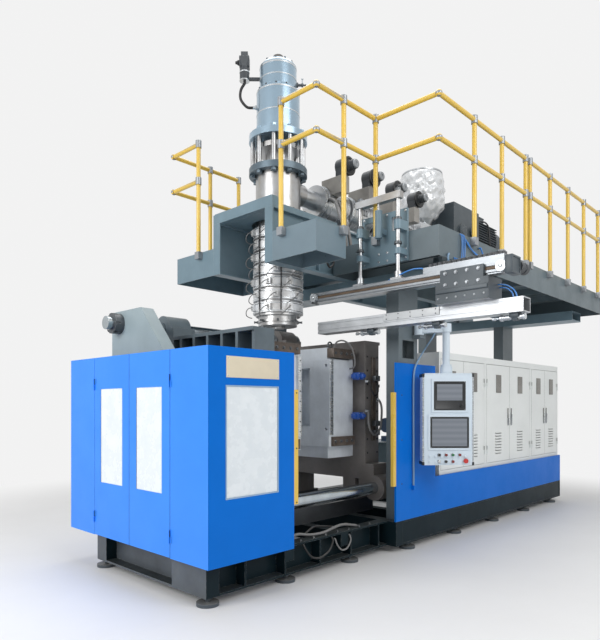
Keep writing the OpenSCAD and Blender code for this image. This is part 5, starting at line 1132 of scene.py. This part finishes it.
makeBeam()
makeCarriage()
makeLift()
makeHoses(takeOut["hoses"])
makeGalleryHoses()
print("take-out unit dressed")


# ---------------------------------------------------------------- covers
covers = {
    "plate": ((150, 1545), (640, 1690)), "window": ((145, 726), (637, 1494)), "rim": 10,
    "strips": (777, 2161), "stripScrews": (640, 1040, 1450),
    # litBaseEndX bounds the painted highlight on the base's left end
    "cornerX": -0.08, "seamY": 0.273, "litBaseEndX": 0.1,  # limits of the painted faces, in metres
}


def makeWindowRim():
    # thin raised rim round the pane: a slab whose middle is cut out on both sides and bridged
    (x0, z0), (x1, z1) = covers["window"]
    shapeBlock((x0, -2, z0), (x1, 0, z1))
    for side in (nearSide, farSide):
        pickFacing(side)
        insetPicked(covers["rim"])
        bpy.ops.mesh.delete(type="FACE")
    bpy.ops.mesh.select_mode(type="EDGE")
    pickEdges(lambda edge: edge.is_boundary)
    bpy.ops.mesh.bridge_edge_loops()
    endPiece("nearWindowRim", "base", "windowRubber")


def makeCovers():
    (x0, z0), (x1, z1) = covers["plate"]
    makeBlock("blankPlate", "base", "plateCream", (x0, -2.5, z0), (x1, 0, z1), nearSide, ((5, 0.8),))
    makeTurned("blankPlateScrews", "base", "brightSteel", [(5, 0), (5, 1.2), (3, 2.4)],
               [(x, -2.6, z) for x in (x0 + 14, x1 - 14) for z in (z0 + 14, z1 - 14)], nearSide, 14)
    makeWindowRim()
    # socket screws down the light curtain strips
    for number, x in enumerate(covers["strips"]):
        makeTurned("stripScrews%d" % number, "base", "bezelBlack", [(6, 0), (6, 3), (3, 4)],
                   [(x, -47, z) for z in covers["stripScrews"]], nearSide, 14)
    # painted highlight: the near cover's faces that look left take the lighter blue, as if lit from the left
    paintFaces("cover_near", "litCoverBlue", lambda centre, normal: normal.x < -0.5)
    # painted shade: the faces along the seams are painted black, so that the gaps between the cover and the
    # doors look dark
    paintFaces("cover_near", "rubberBlack", lambda centre, normal: (
        normal.y > 0.9 and centre.x < covers["cornerX"] and centre.y > covers["seamY"]))
    # painted shade on the door edges that face the seams
    for name in ("door_near", "door_far"):
        paintFaces(name, "rubberBlack", lambda centre, normal: abs(normal.y) > 0.9)
    # painted shade: the faces of the cabinet doors that look sideways, in the gaps and recesses, take the
    # darker filter grey
    for number in range(1, 7):
        paintFaces("cabinet_door_%d" % number, "filterGrey", lambda centre, normal: abs(normal.x) > 0.9)
    # painted highlight: the base's left end faces take a lighter copy of its black
    paintFaces("base_frame", "litBaseEnd",
               lambda centre, normal: normal.x < -0.9 and centre.x < covers["litBaseEndX"])


# ---------------------------------------------------------------- cabinets
cabinets = {
    "edges": (2960, 3996, 5294, 6260), "front": 31, "lockZ": 1180, "lockShift": 42, "filterZ": (1506, 1718),
    "filterShift": 34, "slats": 15, "slatPitch": 13.5,
}


def makeCabinets():
    front, lock, (low, high) = cabinets["front"], cabinets["lockZ"], cabinets["filterZ"]
    for number in range(6):
        left, right = cabinets["edges"][number // 2:number // 2 + 2]
        middle = (left + right) / 2
        mark, body = str(number + 1), "cabinet_leaf_%d" % (number + 1)
        way = -1 if number % 2 == 0 else 1
        # lever lock: escutcheon and swing handle, narrower at its foot
        x = middle + way * cabinets["lockShift"]
        makeBlock("lockPlate" + mark, body, "fittingGrey", (x - 15, front - 6, lock - 70),
                  (x + 15, front, lock + 90), nearSide, ((4, -2),), rounded=1)
        shapeBlock((x - 8, front - 18, lock - 56), (x + 8, front - 7, lock + 66), downSide)
        bpy.ops.transform.resize(value=(0.7, 0.6, 1), center_override=at(x, front - 7, lock - 56))
        roundEdges(3, 3)
        endPiece("lockLever" + mark, body, "brightSteel")
        # filter mat behind its slats near the door's top
        x = (middle + (left + cabinets["filterShift"] if way < 0 else right - cabinets["filterShift"])) / 2
        makeBlock("filterFrame" + mark, body, "filterGrey", (x - 66, front - 3, low), (x + 66, front + 2, high),
                  nearSide, ((6,), (1, -2)))
        slat = shapeBlock((x - 58, front - 4, low + 8), (x + 58, front - 1, low + 14), rounded=1)
        repeatPiece(slat, cabinets["slats"], (0, 0, cabinets["slatPitch"]))
        endPiece("filterSlats" + mark, body, "ductGrey")


# ---------------------------------------------------------------- base
base = {
    "boltY": 134, "top": 286,
    "hoses": {
        "baseHoseLow": ("base", "rubberBlack", 8, [
            (1000, 99, 262), (1000, 88, 256), (1010, 76, 226), (1070, 70, 160), (1170, 68, 136),
            (1280, 70, 170), (1336, 78, 232), (1344, 90, 258), (1344, 99, 262)]),
        "baseHoseSecond": ("base", "conduitGrey", 7, [
            (1380, 99, 250), (1380, 88, 244), (1388, 74, 200), (1440, 70, 150), (1510, 70, 150),
            (1566, 74, 200), (1574, 88, 244), (1574, 99, 250)]),
        "bedHose": ("base", "conduitGrey", 12, [
            (900, 160, 287), (900, 160, 300), (940, 168, 322), (1040, 184, 326), (1160, 170, 304),
            (1300, 150, 304), (1440, 160, 320), (1580, 176, 324), (1700, 166, 304), (1740, 160, 296),
            (1760, 160, 287)]),
        "bedHoseThin": ("base", "rubberBlack", 8, [
            (1120, 200, 287), (1120, 200, 300), (1150, 190, 330), (1260, 206, 352), (1400, 216, 330),
            (1520, 200, 312), (1640, 190, 322), (1700, 196, 300), (1704, 200, 287)]),
    },
}

makeCovers()
makeCabinets()
boltRow("baseFlangeBolts", "base", "darkSteel", [(860 + i * 150, base["boltY"], base["top"]) for i in range(8)],
        upSide, 11, 12)
makeHoses(base["hoses"])
print("covers, cabinets and base dressed")


# ---------------------------------------------------------------- studio
studio = {
    "middle": (2800, 800, 0), "floorRadius": 60.0, "fadeFrom": 3.9, "fadeTo": 6.8,
    "background": 0.89,  # the photograph's pale grey
    "skyStrength": 0.55,
    "lamps": [  # place, aim, size, watts
        ((-6200, 1200, 4200), (600, 900, 1300), 4.0, 330),
        ((1500, -6500, 5600), (2500, 400, 1500), 4.5, 250),
        ((2500, 1500, 9000), (2500, 900, 0), 6.0, 240),
    ],
}
pale = (*[studio["background"]] * 3, 1)


def seenDirectly(tree, *others):
    # 1 for rays of the camera and of the other kinds named
    path = addNode(tree, "LightPath")
    seen = path.outputs["Is Camera Ray"]
    for kind in others:
        seen = mathNode(tree, "MAXIMUM", seen, path.outputs[kind])
    return seen


def makeSky():
    world = bpy.data.worlds.new("studioWorld")
    scene.world = world
    world.use_nodes = True
    tree = world.node_tree
    seen = seenDirectly(tree, "Is Glossy Ray", "Is Transmission Ray")
    strength = mapValue(tree, seen, studio["skyStrength"], 1.0)
    setInputs(tree.nodes["Background"], {"Color": pale, "Strength": strength})


def makeFloor():
    # pale floor that fades into the background's own brightness
    deselect()
    bpy.ops.mesh.primitive_circle_add(vertices=96, radius=studio["floorRadius"], fill_type="NGON",
                                      location=at(*studio["middle"]))
    floor = bpy.context.object
    floor.name = "studioFloor"
    floorPaint, tree, shader = newMaterial("studioFloor")
    grain = useGroup(tree, "mottle", Scale=2.0).outputs["Value"]
    setInputs(shader, {"Base Color": mixColour(tree, grain, (0.80, 0.80, 0.80), (0.82, 0.82, 0.82)),
                       "Roughness": 0.6})
    away = addNode(tree, "VectorMath", {0: ownPlace(tree)}, operation="LENGTH").outputs["Value"]
    bounds = {"Value": away, "From Min": studio["fadeFrom"], "From Max": studio["fadeTo"]}
    fade = addNode(tree, "MapRange", bounds, interpolation_type="SMOOTHSTEP").outputs[0]
    glow = addNode(tree, "Emission", {"Color": pale, "Strength": 1.0})
    hidden = mathNode(tree, "MULTIPLY", fade, seenDirectly(tree, "Is Glossy Ray"))
    mix = addNode(tree, "MixShader", {0: hidden, 1: shader.outputs[0], 2: glow.outputs[0]})
    setInputs(tree.nodes["Material Output"], {"Surface": mix.outputs[0]})
    floor.data.materials.append(floorPaint)


def makeLamps():
    for number, (place, aim, size, watts) in enumerate(studio["lamps"]):
        bpy.ops.object.light_add(type="AREA", location=at(*place))
        lamp = bpy.context.object
        lamp.name = "softLamp%d" % number
        lamp.rotation_euler = (at(*aim) - at(*place)).to_track_quat("-Z", "Y").to_euler()
        lamp.data.size = size
        lamp.data.energy = watts


makeSky()
makeFloor()
makeLamps()
print("studio lit")
